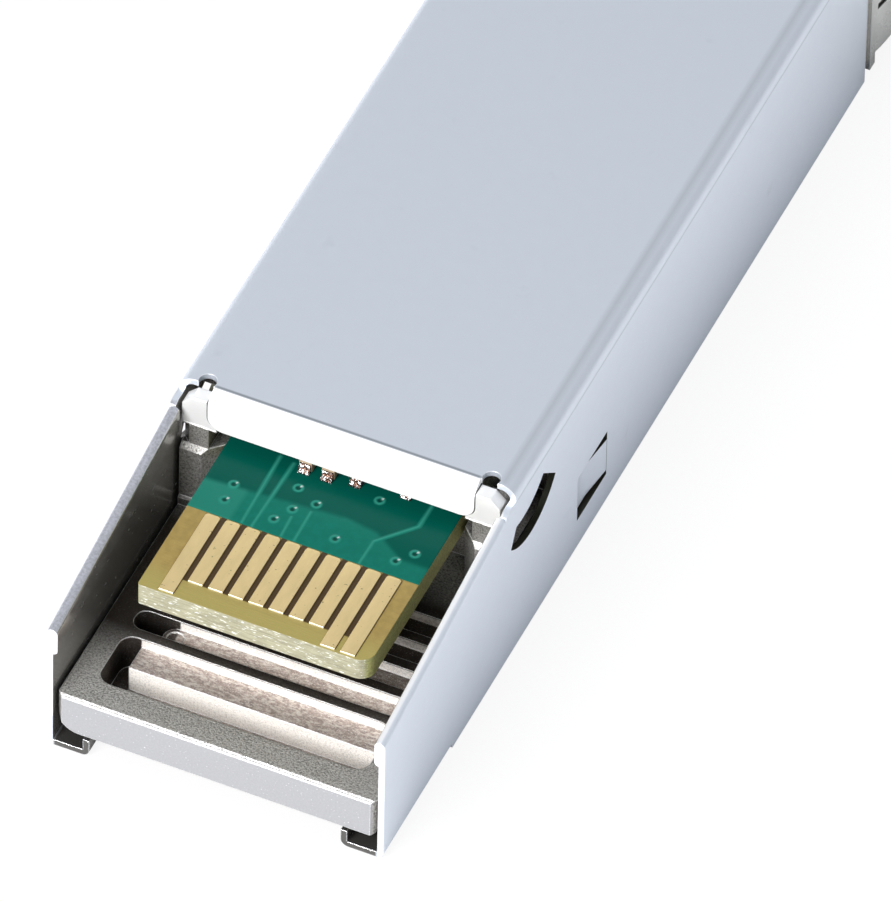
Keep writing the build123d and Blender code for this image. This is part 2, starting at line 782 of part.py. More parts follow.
def make_collar():
    """The stamped grounding collar as one sheet with spring fingers."""
    end = collar_start + collar_length
    collar = collar_band_ring((collar_start, collar_start + collar_band))
    collar += collar_band_ring((end - collar_band, end))
    reach = nose_half_width - collar_corner
    low = along_x(collar_arch(nose_base, -1), (-reach, reach))
    for cutter in collar_slits(finger_count_low, reach, True, (-beyond, nose_base + beyond)):
        low -= cutter
    collar += low
    middle = (nose_base + rear_height) / 2
    rise = (rear_height - nose_base) / 2 - collar_corner
    for side in (-1, 1):
        plane = Plane(origin=(0, 0, middle - rise), x_dir=(0, 1, 0), z_dir=(0, 0, 1))
        arch = plane * collar_arch(-side * nose_half_width, -side)
        wall = extrude(arch, amount=2 * rise)
        for cutter in collar_slits(finger_count_side, rise, False, None):
            wall -= cutter
        collar += wall
        collar += along_x(collar_arch(rear_height, 1), on_side(side, collar_return + finger_gap, reach))
    return collar


# Latch

def make_lever():
    """The rocking lever with the latch boss at its rear and the lifted tip in front."""
    span = (-lever_half_width, lever_half_width)
    top = lever_base + lever_thickness
    plate = block(span, (lever_rear, tip_start), (lever_base, top))
    tip_low = top + lever_tip_rise - lever_thickness
    riser = polygon([(tip_start - lever_tip_length, lever_base), (tip_start, lever_base),
                     (tip_start, tip_low + lever_tip_thickness),
                     (tip_start - lever_tip_length * 0.4, tip_low + lever_tip_thickness)])
    plate += along_x(riser, span)
    plate += block(span, (tip_start - 0.01, tip_end), (tip_low, tip_low + lever_tip_thickness))
    plate += rod_x(hub_radius, span, pivot_y, pivot_z)
    crest = rear_height + boss_height
    boss = polygon([(latch_shoulder - boss_length, top - sunk), (latch_shoulder, top - sunk),
                    (latch_shoulder, crest), (latch_shoulder - boss_length * 0.45, crest),
                    (latch_shoulder - boss_length, rear_height - boss_sink)])
    plate += along_x(boss, (-boss_width / 2, boss_width / 2))
    return plate - rod_x(pin_radius + hub_gap, (-rear_width, rear_width), pivot_y, pivot_z)


def make_pin():
    """The pivot pin of the lever."""
    return rod_x(pin_radius, (-pin_length / 2, pin_length / 2), pivot_y, pivot_z)


def make_spring():
    """The small coil spring under the lever's rear arm."""
    low = cavity_floor_rear + spring_wire + spring_seat_gap
    height = lever_base - spring_wire - spring_seat_gap - low
    path = Pos(0, spring_y, low) * Helix(height / spring_turn_count, height, spring_radius)
    section = Plane(origin=path @ 0, z_dir=path % 0) * Circle(spring_wire)
    return sweep(section, path=path, is_frenet=True)


# Bail

def make_bail():
    """The bent wire: cranked axle through the nose, two legs and the cross-bar."""
    crank_y = bail_y + crank_offset
    half_route = [(wire_joint, bar_y, bar_z), (bail_leg_x, bar_y, bar_z), (bail_leg_x, bail_y, bail_z),
                  (crank_half_width + crank_run, bail_y, bail_z), (crank_half_width, crank_y, bail_z)]
    left = [(-x, y, z) for x, y, z in reversed(half_route)]
    bends = [bail_bend] * 2 + [crank_bend] * 4 + [bail_bend] * 2
    route = FilletPolyline(*half_route, *left, radius=bends)
    section = Plane(origin=route @ 0, z_dir=route % 0) * Circle(wire_radius)
    return sweep(section, path=route, transition=Transition.RIGHT)


def make_grip():
    """The moulded grip on the cross-bar."""
    grip = block((-grip_half_width, grip_half_width), (bar_y - grip_length / 2, bar_y + grip_length / 2),
                 (bar_z - grip_height / 2, bar_z + grip_height / 2))
    grip = fillet(grip.edges().filter_by(Axis.X), grip_corner)
    return grip - rod_x(wire_radius + grip_gap, (-rear_width, rear_width), bar_y, bar_z)


small_groups = [(capacitor_places, chip_size), (resistor_places, chip_size), (bead_places, bead_size)]
left_port, right_port = port_axes
parts = {
    "base_housing": make_base_housing(),
    "cover": make_cover(),
    "emi_collar": make_collar(),
    "circuit_board": make_board(),
    "solder_mask_upper": make_mask(board_half, (board_top, board_top + mask_thickness)),
    "solder_mask_lower": make_mask(wall_inner - rail_width - 0.05,
                                   (board_bottom - mask_thickness, board_bottom)),
    "edge_contacts_upper": make_contacts(long_contacts_upper, (board_top, board_top + contact_thickness)),
    "edge_contacts_lower": make_contacts(long_contacts_lower,
                                         (board_bottom - contact_thickness, board_bottom)),
    "laser_driver_chip": make_chip(driver_chip, False),
    "controller_chip": make_chip(controller_chip, True),
    "memory_chip": make_chip(memory_chip, True),
    "amplifier_chip": make_chip(amplifier_chip, False),
    "chip_capacitors": make_small_parts(capacitor_places, chip_size),
    "chip_resistors": make_small_parts(resistor_places, chip_size),
    "ferrite_beads": make_small_parts(bead_places, bead_size),
    "solder_joints": make_solder(small_groups),
    "transmitter_can": make_can(left_port),
    "transmitter_barrel": make_barrel(left_port),
    "transmitter_sleeve": make_sleeve(left_port),
    "transmitter_flex": make_flex(left_port),
    "receiver_can": make_can(right_port),
    "receiver_barrel": make_barrel(right_port),
    "receiver_sleeve": make_sleeve(right_port),
    "receiver_flex": make_flex(right_port),
    "optics_clamp": make_clamp(),
    "latch_lever": make_lever(),
    "latch_pin": make_pin(),
    "latch_spring": make_spring(),
    "bail": make_bail(),
    "bail_grip": make_grip(),
}

os.makedirs("parts", exist_ok=True)
for name, shape in parts.items():
    export_step(Pos(0, -overall_length / 2, 0) * shape, f"parts/{name}.step")
    print(name, len(shape.solids()), round(shape.volume, 3))
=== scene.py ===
import json
import math

import bmesh
import bpy
import numpy as np
from bpy.props import FloatProperty, FloatVectorProperty, PointerProperty
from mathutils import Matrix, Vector


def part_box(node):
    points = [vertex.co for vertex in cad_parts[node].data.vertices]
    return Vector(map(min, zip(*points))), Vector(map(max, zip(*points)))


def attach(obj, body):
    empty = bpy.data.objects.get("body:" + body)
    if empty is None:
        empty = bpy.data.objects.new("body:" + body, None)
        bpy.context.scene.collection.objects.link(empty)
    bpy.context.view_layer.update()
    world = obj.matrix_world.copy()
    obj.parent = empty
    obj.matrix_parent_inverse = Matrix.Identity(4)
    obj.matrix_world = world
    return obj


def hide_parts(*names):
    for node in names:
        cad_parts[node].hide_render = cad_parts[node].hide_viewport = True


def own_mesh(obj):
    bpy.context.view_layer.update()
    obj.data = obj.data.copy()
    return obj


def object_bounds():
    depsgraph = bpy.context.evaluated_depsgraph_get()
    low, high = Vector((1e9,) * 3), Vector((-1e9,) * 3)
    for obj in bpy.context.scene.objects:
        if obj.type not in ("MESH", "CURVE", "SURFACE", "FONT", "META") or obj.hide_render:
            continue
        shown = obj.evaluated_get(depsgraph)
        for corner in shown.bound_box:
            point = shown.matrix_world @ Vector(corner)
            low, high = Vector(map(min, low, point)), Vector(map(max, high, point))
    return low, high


bl_info = {
    "name": "Pluggable optical transceiver",
    "version": (1, 0, 0),
    "blender": (4, 5, 0),
    "location": "3D View > Sidebar > Transceiver",
    "description": "Dresses the packed model of an optical transceiver and sets its stage",
    "category": "Object",
}

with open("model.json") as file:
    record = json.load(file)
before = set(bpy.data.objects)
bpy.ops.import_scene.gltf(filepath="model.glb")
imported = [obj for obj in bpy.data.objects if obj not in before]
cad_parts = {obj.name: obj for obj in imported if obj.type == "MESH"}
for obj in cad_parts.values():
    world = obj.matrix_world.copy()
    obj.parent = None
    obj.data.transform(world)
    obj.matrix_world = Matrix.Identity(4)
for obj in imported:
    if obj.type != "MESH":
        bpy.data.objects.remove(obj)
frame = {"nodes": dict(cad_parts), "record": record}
cad_low, cad_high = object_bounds()
MM = 0.001
REAR_END = cad_low.y
record = frame["record"]
BODY_OF = {node: body for body, members in record["behaviour"]["bodies"].items() for node in members}
COLOUR_OF = {entry["slot"]: entry["base_color"] for entry in record["materials"]}


def colour(name, description, default):
    """A colour property. A material slot's name as the default gives the record's colour."""
    value = COLOUR_OF[default] if isinstance(default, str) else default
    return FloatVectorProperty(name=name, description=description, subtype="COLOR", size=3,
                               min=0.0, max=1.0, default=tuple(value))


def length(name, description, millimetres):
    """A length property, its default given in millimetres."""
    return FloatProperty(name=name, description=description, subtype="DISTANCE", unit="LENGTH",
                         precision=6, min=0.0, default=millimetres * MM)


def share(name, description, default):
    """A property from 0 to 1."""
    return FloatProperty(name=name, description=description, subtype="FACTOR", unit="NONE",
                         min=0.0, max=1.0, default=default)


def spot(name, description, default):
    """A place in the scene, in metres."""
    return FloatVectorProperty(name=name, description=description, size=3, subtype="TRANSLATION",
                               unit="LENGTH", precision=5, default=default)


class MetalSettings(bpy.types.PropertyGroup):
    """Colours and edges of the metal pieces, with the painted highlights and painted shade of the cover and
    the casting.
    """
    sheet: colour("Sheet", "Satin plating of the cover", (0.70, 0.75, 0.83))
    # Painted highlight: the lip is the cover's own plating, painted near white
    sheet_lip_highlight: colour("Sheet lip", "Polished lip bent down at the rear", (0.97, 0.97, 0.97))
    # Painted shade: the grey of the left hem
    sheet_hem_shade: colour("Sheet hem", "Folded rims of the skirts", (0.56, 0.57, 0.63))
    # Painted highlight along the cover's edges and on the right hem
    sheet_rim_highlight: colour("Sheet rims", "Polished cut rims", (0.95, 0.96, 0.98))
    # Painted shade on the cover's inner faces and in its hooks
    sheet_inside_shade: colour("Sheet inside", "Unpolished inner faces of the cover", (0.40, 0.39, 0.37))
    # Painted shade on the cut faces round the wall openings
    sheet_cut_shade: colour("Sheet cuts", "Cut faces round the cover's wall openings", (0.05, 0.05, 0.035))
    casting: colour("Casting", "Plating of the die casting", (0.74, 0.725, 0.70))
    # Painted shade on the slots' floors
    casting_recess_shade: colour("Casting recesses", "Slots of the casting", (0.40, 0.34, 0.315))
    # Painted highlight on the slots' rear-facing walls and on their streaks
    casting_wall_highlight: colour("Casting walls", "Bright rear-facing walls of the slots", (0.98, 0.94, 0.89))
    casting_pit: colour("Casting pits", "Low places between the grains of the casting", (0.33, 0.318, 0.30))
    # Painted shade in hollows, at the slots' ends and under the board
    casting_hollow_shade: colour("Casting hollows", "Deep places of the casting", (0.05, 0.042, 0.035))
    # Painted highlight along the casting's edges and in glints on its grains
    casting_highlight: colour("Casting edges", "Edges of the casting, worn bright", (0.97, 0.97, 0.97))
    casting_end: colour("Casting end", "Machined rear face of the casting", (0.37, 0.37, 0.385))
    # Smooth ears, painted near white as a painted highlight
    casting_ear_highlight: colour("Casting ears", "Smooth ears beside the lip", (0.96, 0.96, 0.96))
    spring: colour("Spring sheet", "Bright sheet of the collar", "spring_sheet")
    steel: colour("Stamped steel", "Lever of the latch", "latch_steel")
    pin: colour("Ground steel", "Pivot pin of the lever", "pin_steel")
    wire: colour("Drawn wire", "Wire of the bail", "bail_wire")
    coil: colour("Spring wire", "Wire of the latch's spring", "spring_wire")
    can: colour("Cans", "Plated cans of the optics", "can_metal")
    barrel: colour("Barrels", "Turned barrels of the optics", "barrel_metal")
    sheet_edge: length("Sheet edge", "Rounding of the cover's cut edges", 0.05)
    casting_edge: length("Casting edge", "Rounding of the casting's edges", 0.07)
    small_edge: length("Small edge", "Rounding of small metal pieces", 0.05)
    # Width of the painted highlight along the cover's edges
    rim_width: length("Rim width", "Width of the cover's bright rims", 0.06)
    peel_depth: length("Peel depth", "Fine unevenness of the cover", 0.0011)
    wave_depth: length("Wave depth", "Wide unevenness of the cover", 0.004)
    scratch_depth: length("Scratch depth", "Depth of the cover's scratches", 0.0006)
    hem_depth: length("Hem depth", "Unevenness of the folded rims", 0.012)
    grain: length("Casting grain", "Size of the grains on the casting", 0.075)
    swell_depth: length("Swell depth", "Wide unevenness of the casting", 0.03)
    pebble_depth: length("Pebble depth", "Height of the casting's grains", 0.038)
    fine_depth: length("Fine depth", "Fine roughness on the casting's grains", 0.010)
    # Reach of the painted shade in hollows
    hollow_reach: length("Hollow reach", "How near the walls of a dark hollow are", 2.0)
    coil_wire: length("Coil wire", "Radius of the latch spring's wire", 0.11)
    polished_grain: share("Polished grain", "What is left of the grain on the smooth faces", 0.12)
    # The streaks in the slots carry the painted wall highlight
    streak_share: share("Streak share", "How bright the streaks in the casting's slots are", 0.75)
    # Painted highlight on the slot walls: how much of it stays between the glints
    wall_share: share("Wall share", "How much of a slot's wall is bright between the glints", 0.68)
    sheet_metallic: share("Sheet metallic", "How metallic the cover's plating looks", 0.55)
    casting_metallic: share("Casting metallic", "How metallic the casting's plating looks", 0.85)


class BoardSettings(bpy.types.PropertyGroup):
    """Colours and small sizes of the circuit board and what is on it, with the painted shade between the
    contacts and on their sides and the painted highlight on their rear ends.
    """
    laminate: colour("Laminate", "Top face of the bare laminate", (0.33, 0.235, 0.070))
    laminate_rear: colour("Laminate rear", "Bare strip behind the contacts", (0.32, 0.265, 0.08))
    # Painted shade between the contacts
    laminate_gap_shade: colour("Laminate gaps", "Laminate between the contacts", (0.05, 0.028, 0.008))
    cut_edge: colour("Cut edge", "Fibrous cut rear edge of the laminate", (0.44, 0.42, 0.29))
    cut_flank: colour("Cut flank", "Cut sides of the laminate", (0.44, 0.44, 0.17))
    fleck: colour("Fibre flecks", "Bright ends of the glass fibres", (0.80, 0.80, 0.73))
    mask: colour("Solder mask", "Mask over bare laminate", (0.006, 0.118, 0.087))
    mask_left: colour("Mask on the left", "Mask over the board's bare left edge", (0.016, 0.16, 0.118))
    mask_copper: colour("Mask over copper", "Mask where copper lies under it", (0.0005, 0.068, 0.050))
    mask_trace: colour("Mask on tracks", "Mask on the crest of a track", (0.022, 0.20, 0.15))
    mask_hole: colour("Mask in holes", "Mask sunk into a via", (0.002, 0.045, 0.035))
    gold: colour("Gold", "Plating of the contacts", (0.90, 0.70, 0.35))
    # Painted highlight on the contacts' rear ends
    gold_end_highlight: colour("Gold ends", "Rear ends of the contacts", (0.92, 0.88, 0.78))
    # Painted shade on the contacts' upright sides
    gold_side_shade: colour("Gold sides", "Upright sides of the contacts", (0.20, 0.12, 0.05))
    solder: colour("Solder", "Solder joints and tinned ends", "solder")
    flux: colour("Flux", "Flux left between the lumps of solder", (0.10, 0.055, 0.04))
    mould: colour("Chip mould", "Moulded chip packages", "chip_mould")
    capacitor: colour("Capacitors", "Ceramic of the capacitors", "capacitor_body")
    resistor: colour("Resistors", "Glaze of the resistors", "resistor_body")
    ferrite: colour("Ferrite", "Body of the ferrite beads", "bead_body")
    track_rise: length("Track rise", "Height of a track under the mask", 0.018)
    track_width: length("Track width", "Width of a track", 0.10)
    via_radius: length("Via radius", "Outer radius of a via's ring", 0.21)
    contact_edge: length("Contact edge", "Rounding of a contact's rim", 0.03)
    laminate_edge: length("Laminate edge", "Rounding of the laminate's edges", 0.04)
    solder_edge: length("Solder edge", "Rounding of the solder's edges", 0.08)
    fibre_depth: length("Fibre depth", "Unevenness of the laminate", 0.018)
    mask_depth: length("Mask depth", "Unevenness of the mask", 0.003)
    wipe_depth: length("Wipe depth", "Depth of the contacts' fine scratches", 0.0008)
    gold_depth: length("Gold depth", "Unevenness of the gold", 0.0012)
    lump_depth: length("Lump depth", "Height of the solder's lumps", 0.06)


class FrontSettings(bpy.types.PropertyGroup):
    """Colours of the plastic, ceramic and film pieces."""
    ceramic: colour("Ceramic", "Alignment sleeves", "sleeve_ceramic")
    film: colour("Film", "Flexible circuits", "flex_film")
    clamp: colour("Clamp", "Saddle over the barrels", "clamp_plastic")
    grip: colour("Grip", "Moulded grip of the bail", "grip_plastic")


class StageSettings(bpy.types.PropertyGroup):
    """Camera, lamps and floor."""
    camera_place: spot("Camera place", "Where the camera stands", (0.230651, -0.536309, 0.616046))
    camera_turn: FloatVectorProperty(name="Camera turn", description="How the camera is turned", size=3,
                                     subtype="EULER", unit="ROTATION", precision=5,
                                     default=(0.751175, -0.014493, 0.427225))
    lens: FloatProperty(name="Lens", description="Focal length in millimetres for a 36 mm sensor",
                        min=10.0, max=2000.0, default=919.2)
    floor_colour: colour("Floor", "Paper under the module", (0.90, 0.90, 0.90))
    sky: FloatProperty(name="Sky", description="Strength of the even light from all round",
                       min=0.0, max=5.0, default=0.44)
    key: FloatProperty(name="Key lamp", description="Power of the soft lamp behind the rear end",
                       unit="POWER", min=0.0, max=50.0, default=4.2)
    key_place: spot("Key lamp place", "Where the key lamp stands", (-0.12, -0.42, 0.36))
    key_size: length("Key lamp size", "Width of the key lamp", 250.0)
    fill: FloatProperty(name="Fill lamp", description="Power of the soft lamp on the right", unit="POWER",
                        min=0.0, max=50.0, default=0.2)
    fill_place: spot("Fill lamp place", "Where the fill lamp stands", (0.45, -0.10, 0.20))
    fill_size: length("Fill lamp size", "Width of the fill lamp", 300.0)


# Meshes

def link_piece(name, mesh, material, nodes):
    """Puts a finished mesh into the scene to stand for some CAD nodes, on their body."""
    piece = bpy.data.objects.new(name, mesh)
    bpy.context.scene.collection.objects.link(piece)
    mesh.materials.clear()
    mesh.materials.append(material)
    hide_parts(*nodes)
    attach(piece, BODY_OF[nodes[0]])
    return piece


def smooth(mesh, degrees):
    """Smooth shading, with creases kept where faces meet at more than an angle."""
    mesh.shade_smooth()
    mesh.set_sharp_from_angle(angle=math.radians(degrees))


def node_copy(node, name, crease=32.0):
    """A merged copy of a CAD node's mesh, its flat faces joined into whole ones."""
    mesh = frame["nodes"][node].data.copy()
    mesh.name = name
    work = bmesh.new()
    work.from_mesh(mesh)
    bmesh.ops.remove_doubles(work, verts=work.verts, dist=0.0005 * MM)
    bmesh.ops.dissolve_limit(work, angle_limit=math.radians(0.1), verts=work.verts, edges=work.edges)
    work.to_mesh(mesh)
    work.free()
    stale = mesh.attributes.get("custom_normal")
    if stale:
        mesh.attributes.remove(stale)
    smooth(mesh, crease)
    return mesh


def grid_quads(rows, columns, closed):
    """Quads between neighbours of a grid of rows by columns, its columns closed to a ring or open."""
    row = np.arange(rows - 1)[:, None]
    column = np.arange(columns if closed else columns - 1)[None, :]
    after = (column + 1) % columns
    corners = (row * columns + column, row * columns + after,
               (row + 1) * columns + after, (row + 1) * columns + column)
    return np.stack(corners, axis=-1).reshape(-1, 4)


def surface_mesh(name, points, quads, caps=(), crease=40.0):
    """A mesh from arrays: points, quads, and many-sided faces that close its ends."""
    mesh = bpy.data.meshes.new(name)
    faces = quads.tolist() + [list(cap) for cap in caps]
    mesh.from_pydata(points.reshape(-1, 3).tolist(), [], faces)
    mesh.update()
    smooth(mesh, crease)
    return mesh


def rounded_outline(low, high, radii, steps=5):
    """The outline of a rectangle with rounded corners, counter-clockwise, and its outward normals.

    Each corner is a quarter circle about a centre set in by that corner's radius:
    point = centre + radius * (cos a, sin a), and the normal is (cos a, sin a).
    """
    turn = np.linspace(0, math.pi / 2, steps)
    points, normals = [], []
    signs = ((1, 1), (-1, 1), (-1, -1), (1, -1))
    for quarter, ((side_x, side_y), radius) in enumerate(zip(signs, radii)):
        centre = ((high[0] if side_x > 0 else low[0]) - side_x * radius,
                  (high[1] if side_y > 0 else low[1]) - side_y * radius)
        angle = turn + quarter * math.pi / 2
        normal = np.stack([np.cos(angle), np.sin(angle)], axis=-1)
        points.append(np.array(centre) + radius * normal)
        normals.append(normal)
    return np.concatenate(points), np.concatenate(normals)


def plate_surface(outline, normals, profile):
    """A profile of (inset, height) pairs carried round an outline.

    Point(row, column) = outline(column) - inset(row) * normal(column), at height(row).
    Returns the points as rows by columns by 3, the quads, and the two end faces.
    """
    inset, height = (np.array(values)[:, None] for values in zip(*profile))
    flat = outline[None] - inset[..., None] * normals[None]
    points = np.concatenate([flat, np.broadcast_to(height[..., None], flat.shape[:2] + (1,))], axis=-1)
    rows, columns = points.shape[:2]
    quads = grid_quads(rows, columns, True)
    low_cap = np.arange(columns)[::-1]
    high_cap = np.arange(columns) + (rows - 1) * columns
    return points, quads, (low_cap, high_cap)


def rounded_rim(low, high, radius, round_foot, steps=4):
    """(inset, height) pairs up a wall whose top edge, and if asked its foot, is a quarter circle."""
    turn = np.linspace(0, math.pi / 2, steps)
    top = [(radius * (1 - math.cos(a)), high - radius * (1 - math.sin(a))) for a in turn]
    if round_foot:
        foot = [(radius * (1 - math.cos(a)), low + radius * (1 - math.sin(a))) for a in turn[::-1]]
    else:
        foot = [(0.0, low)]
    return foot + top


def join_surfaces(name, surfaces, crease=40.0):
    """One mesh of several closed surfaces."""
    points, quads, caps, count = [], [], [], 0
    for surface_points, surface_quads, surface_caps in surfaces:
        points.append(surface_points.reshape(-1, 3))
        quads.append(surface_quads + count)
        caps += [cap + count for cap in surface_caps]
        count += len(points[-1])
    return surface_mesh(name, np.concatenate(points), np.concatenate(quads), caps, crease)


# Materials

class Shader:
    """One material with a Principled surface, built node by node."""

    def __init__(self, name, **sockets):
        self.material = bpy.data.materials.new(name)
        self.material.use_nodes = True
        self.tree = self.material.node_tree
        self.surface = self.tree.nodes["Principled BSDF"]
        self.set(self.surface, sockets)
        place = self.tree.nodes.new("ShaderNodeTexCoord")
        self.place = place.outputs["Object"]
        self.normal = None

    def set(self, node, values):
        """Sets or links a node's inputs by name."""
        for name, value in values.items():
            socket = node.inputs[name.replace("_", " ") if isinstance(name, str) else name]
            if isinstance(value, bpy.types.NodeSocket):
                self.tree.links.new(value, socket)
            elif socket.type == "RGBA" and len(value) == 3:
                socket.default_value = (*value, 1.0)
            else:
                socket.default_value = value

    def add(self, kind, values=None, **settings):
        """A new node with its settings and its inputs by name or number."""
        node = self.tree.nodes.new("ShaderNode" + kind)
        for name, value in settings.items():
            setattr(node, name, value)
        self.set(node, values or {})
        return node

    def stretched(self, sizes):
        """Object coordinates counted in steps of the given sizes, in metres along X, Y and Z."""
        scale = tuple(1 / size for size in sizes)
        return self.add("Mapping", {"Vector": self.place, "Scale": scale}).outputs["Vector"]

    def noise(self, size, detail=2.0, rough=0.5, stretch=(1, 1, 1)):
        """Noise whose features are about one size across, longer along an axis if stretched."""
        vector = self.stretched([size * s for s in stretch])
        values = {"Vector": vector, "Scale": 1.0, "Detail": detail, "Roughness": rough}
        return self.add("TexNoise", values).outputs["Fac"]

    def pattern(self, name, unit=MM):
        """The noise of a named pattern, its size counted in a unit."""
        size, detail, rough, stretch = PATTERNS[name]
        return self.noise(size * unit, detail, rough, stretch)

    def showing(self, name, unit=MM):
        """1 where a named pattern shows in full and 0 where it doesn't show."""
        return self.span(self.pattern(name, unit), *LEVELS[name])

    def gloss(self, unevenness, low, high):
        """A roughness that a pattern moves between two values."""
        return self.span(unevenness, *MOST_NOISE, low, high)

    def span(self, value, low, high, to_low=0.0, to_high=1.0):
        """A value moved from one range to another and kept inside it."""
        values = {"Value": value, "From Min": low, "From Max": high, "To Min": to_low, "To Max": to_high}
        return self.add("MapRange", values, clamp=True).outputs["Result"]

    def maths(self, operation, first, second=0.0):
        """One sum of two values."""
        return self.add("Math", {0: first, 1: second}, operation=operation).outputs[0]

    def shaded(self, share, tint, factor):
        """A colour that goes over to a darker or lighter one of the same hue."""
        return self.mix(share, tint, tuple(min(1.0, factor * channel) for channel in tint))

    def mix(self, share, first, second):
        """A colour between two, by a share from 0 to 1."""
        node = self.add("Mix", data_type="RGBA")
        sockets = [s for s in node.inputs if s.enabled]
        for socket, value in zip(sockets, (share, first, second)):
            if isinstance(value, bpy.types.NodeSocket):
                self.tree.links.new(value, socket)
            elif socket.type == "RGBA":
                socket.default_value = (*value[:3], 1.0)
            else:
                socket.default_value = value
        return next(s for s in node.outputs if s.enabled)

    def rounded(self, radius):
        """Softens every edge of the surface by a radius, in the shading only."""
        self.normal = self.add("Bevel", {"Radius": radius}, samples=6).outputs["Normal"]

    def relief(self, height, depth):
        """Adds a bump of a depth in metres for a height from 0 to 1."""
        values = {"Height": height, "Distance": depth, "Strength": 1.0}
        if self.normal:
            values["Normal"] = self.normal
        self.normal = self.add("Bump", values).outputs["Normal"]

    def done(self, **sockets):
        """Links what is left and gives the material."""
        self.set(self.surface, sockets)
        if self.normal:
            self.set(self.surface, {"Normal": self.normal})
        return self.material

    def attribute(self, name):
        """A value stored on the mesh's points."""
        return self.add("Attribute", attribute_name=name).outputs["Fac"]

    def axes(self, source=None):
        """The X, Y and Z of a vector, by default of the place on the object."""
        return self.add("SeparateXYZ", {"Vector": source or self.place}).outputs

    def facing(self, axis, low, high):
        """1 on faces that look along an axis either way, 0 on those whose normal has less than low."""
        normal = self.axes(self.add("NewGeometry").outputs["True Normal"])
        return self.span(self.maths("ABSOLUTE", normal[axis]), low, high)

    def without(self, value):
        """1 less a value."""
        return self.span(value, 0.0, 1.0, 1.0, 0.0)

    def within(self, value, low, high, soft=0.03):
        """1 where a length in millimetres lies between two limits, 0 outside, with soft ends."""
        rise = self.span(value, (low - soft) * MM, (low + soft) * MM)
        fall_off = self.span(value, (high - soft) * MM, (high + soft) * MM, 1.0, 0.0)
        return self.maths("MULTIPLY", rise, fall_off)

    def edges(self, radius):
        """1 along the surface's sharp edges, within a radius, and 0 on its faces."""
        soft = self.add("Bevel", {"Radius": radius}, samples=6).outputs["Normal"]
        flat = self.add("NewGeometry").outputs["True Normal"]
        agree = self.add("VectorMath", {0: soft, 1: flat}, operation="DOT_PRODUCT").outputs["Value"]
        return self.span(agree, *EDGE_AGREEMENT, 1.0, 0.0)

    def hollows(self, reach, closed, open_share):
        """1 where less than the closed share of the sky is free within a reach, 0 in the open."""
        share = self.add("AmbientOcclusion", {"Distance": reach}, samples=6).outputs["AO"]
        return self.span(share, closed, open_share, 1.0, 0.0)

    def zone(self, limits):
        """1 inside a zone's limits and 0 outside. The zones are listed below."""
        place = self.axes()
        along = {"x": place["X"], "side": self.maths("ABSOLUTE", place["X"]),
                 "y": self.maths("SUBTRACT", place["Y"], REAR_END), "z": place["Z"]}
        return self.every(*(self.within(along[axis], *limit) for axis, limit in limits.items()))

    def tinted(self, share, tint, base, factor):
        """A colour that goes over to a share of a base colour."""
        return self.mix(share, tint, tuple(factor * channel for channel in base))

    def every(self, *values):
        """The product of several values."""
        product = values[0]
        for value in values[1:]:
            product = self.maths("MULTIPLY", product, value)
        return product


# Patterns on the surfaces: size in millimetres, or in grains on the casting and the plain
# materials, then detail, roughness, and stretch along x, y and z
EVEN = (1, 1, 1)
PATTERNS = {
    "scratches": (0.05, 2.0, 0.5, (1, 60, 60)),
    "orange peel": (0.12, 2.0, 0.5, EVEN),
    "waves": (2.5, 2.0, 0.4, EVEN),
    "hem grain": (0.08, 2.0, 0.6, EVEN),
    "hem speckle": (0.10, 2.0, 0.6, EVEN),
    "stains": (1.6, 3.0, 0.6, EVEN),
    "sheet gloss": (0.5, 3.0, 0.6, EVEN),
    "pebbles": (1.0, 3.0, 0.62, EVEN),
    "fine grain": (0.4, 2.0, 0.5, EVEN),
    "swell": (9.0, 2.0, 0.5, EVEN),
    "streaks": (1.3, 3.0, 0.65, (2.5, 1, 1)),
    "specks": (0.8, 1.0, 0.5, EVEN),
    "sparks": (1.0, 1.0, 0.5, EVEN),
    "fibres": (0.09, 4.0, 0.7, (9, 1, 0.8)),
    "flecks": (0.06, 2.0, 0.5, (4, 1, 1)),
    "weave": (0.28, 2.0, 0.5, EVEN),
    "mask mottle": (0.35, 3.0, 0.6, EVEN),
    "mask waves": (0.25, 2.0, 0.5, EVEN),
    "wiping": (0.03, 3.0, 0.6, (1, 30, 1)),
    "gold grain": (0.06, 2.0, 0.5, EVEN),
    "gold marks": (0.4, 3.0, 0.6, (1, 3, 1)),
    "gold dots": (0.13, 2.0, 0.5, EVEN),
    "solder lumps": (0.13, 2.0, 0.6, EVEN),
    "handling marks": (25.0, 2.0, 0.5, EVEN),
    "metal gloss": (6.0, 3.0, 0.6, EVEN),
    "plastic grain": (1.0, 4.0, 0.6, EVEN),
    "plastic mottle": (12.0, 2.0, 0.5, EVEN),
    "plastic gloss": (5.0, 3.0, 0.5, EVEN),
    "paper": (0.4, 3.0, 0.5, EVEN),
}
# Values of a pattern's noise at which it starts to show and shows in full
LEVELS = {
    "scratches": (0.62, 0.72),
    "hem speckle": (0.35, 0.65),
    "stains": (0.66, 0.78),
    "crests": (0.36, 0.56),
    "slot grooves": (0.38, 0.60),
    "wall glints": (0.40, 0.55),
    "end grain": (0.4, 0.6),
    "streaks": (0.46, 0.62),
    "specks": (0.64, 0.70),
    "sparks": (0.70, 0.74),
    "fibre gaps": (0.62, 0.34),
    "flecks": (0.60, 0.68),
    "weave": (0.7, 0.3),
    "mask mottle": (0.3, 0.7),
    "gold marks": (0.35, 0.7),
    "gold dots": (0.70, 0.76),
    "flux": (0.56, 0.50),
    "handling marks": (0.45, 0.75),
    "plastic mottle": (0.35, 0.7),
}
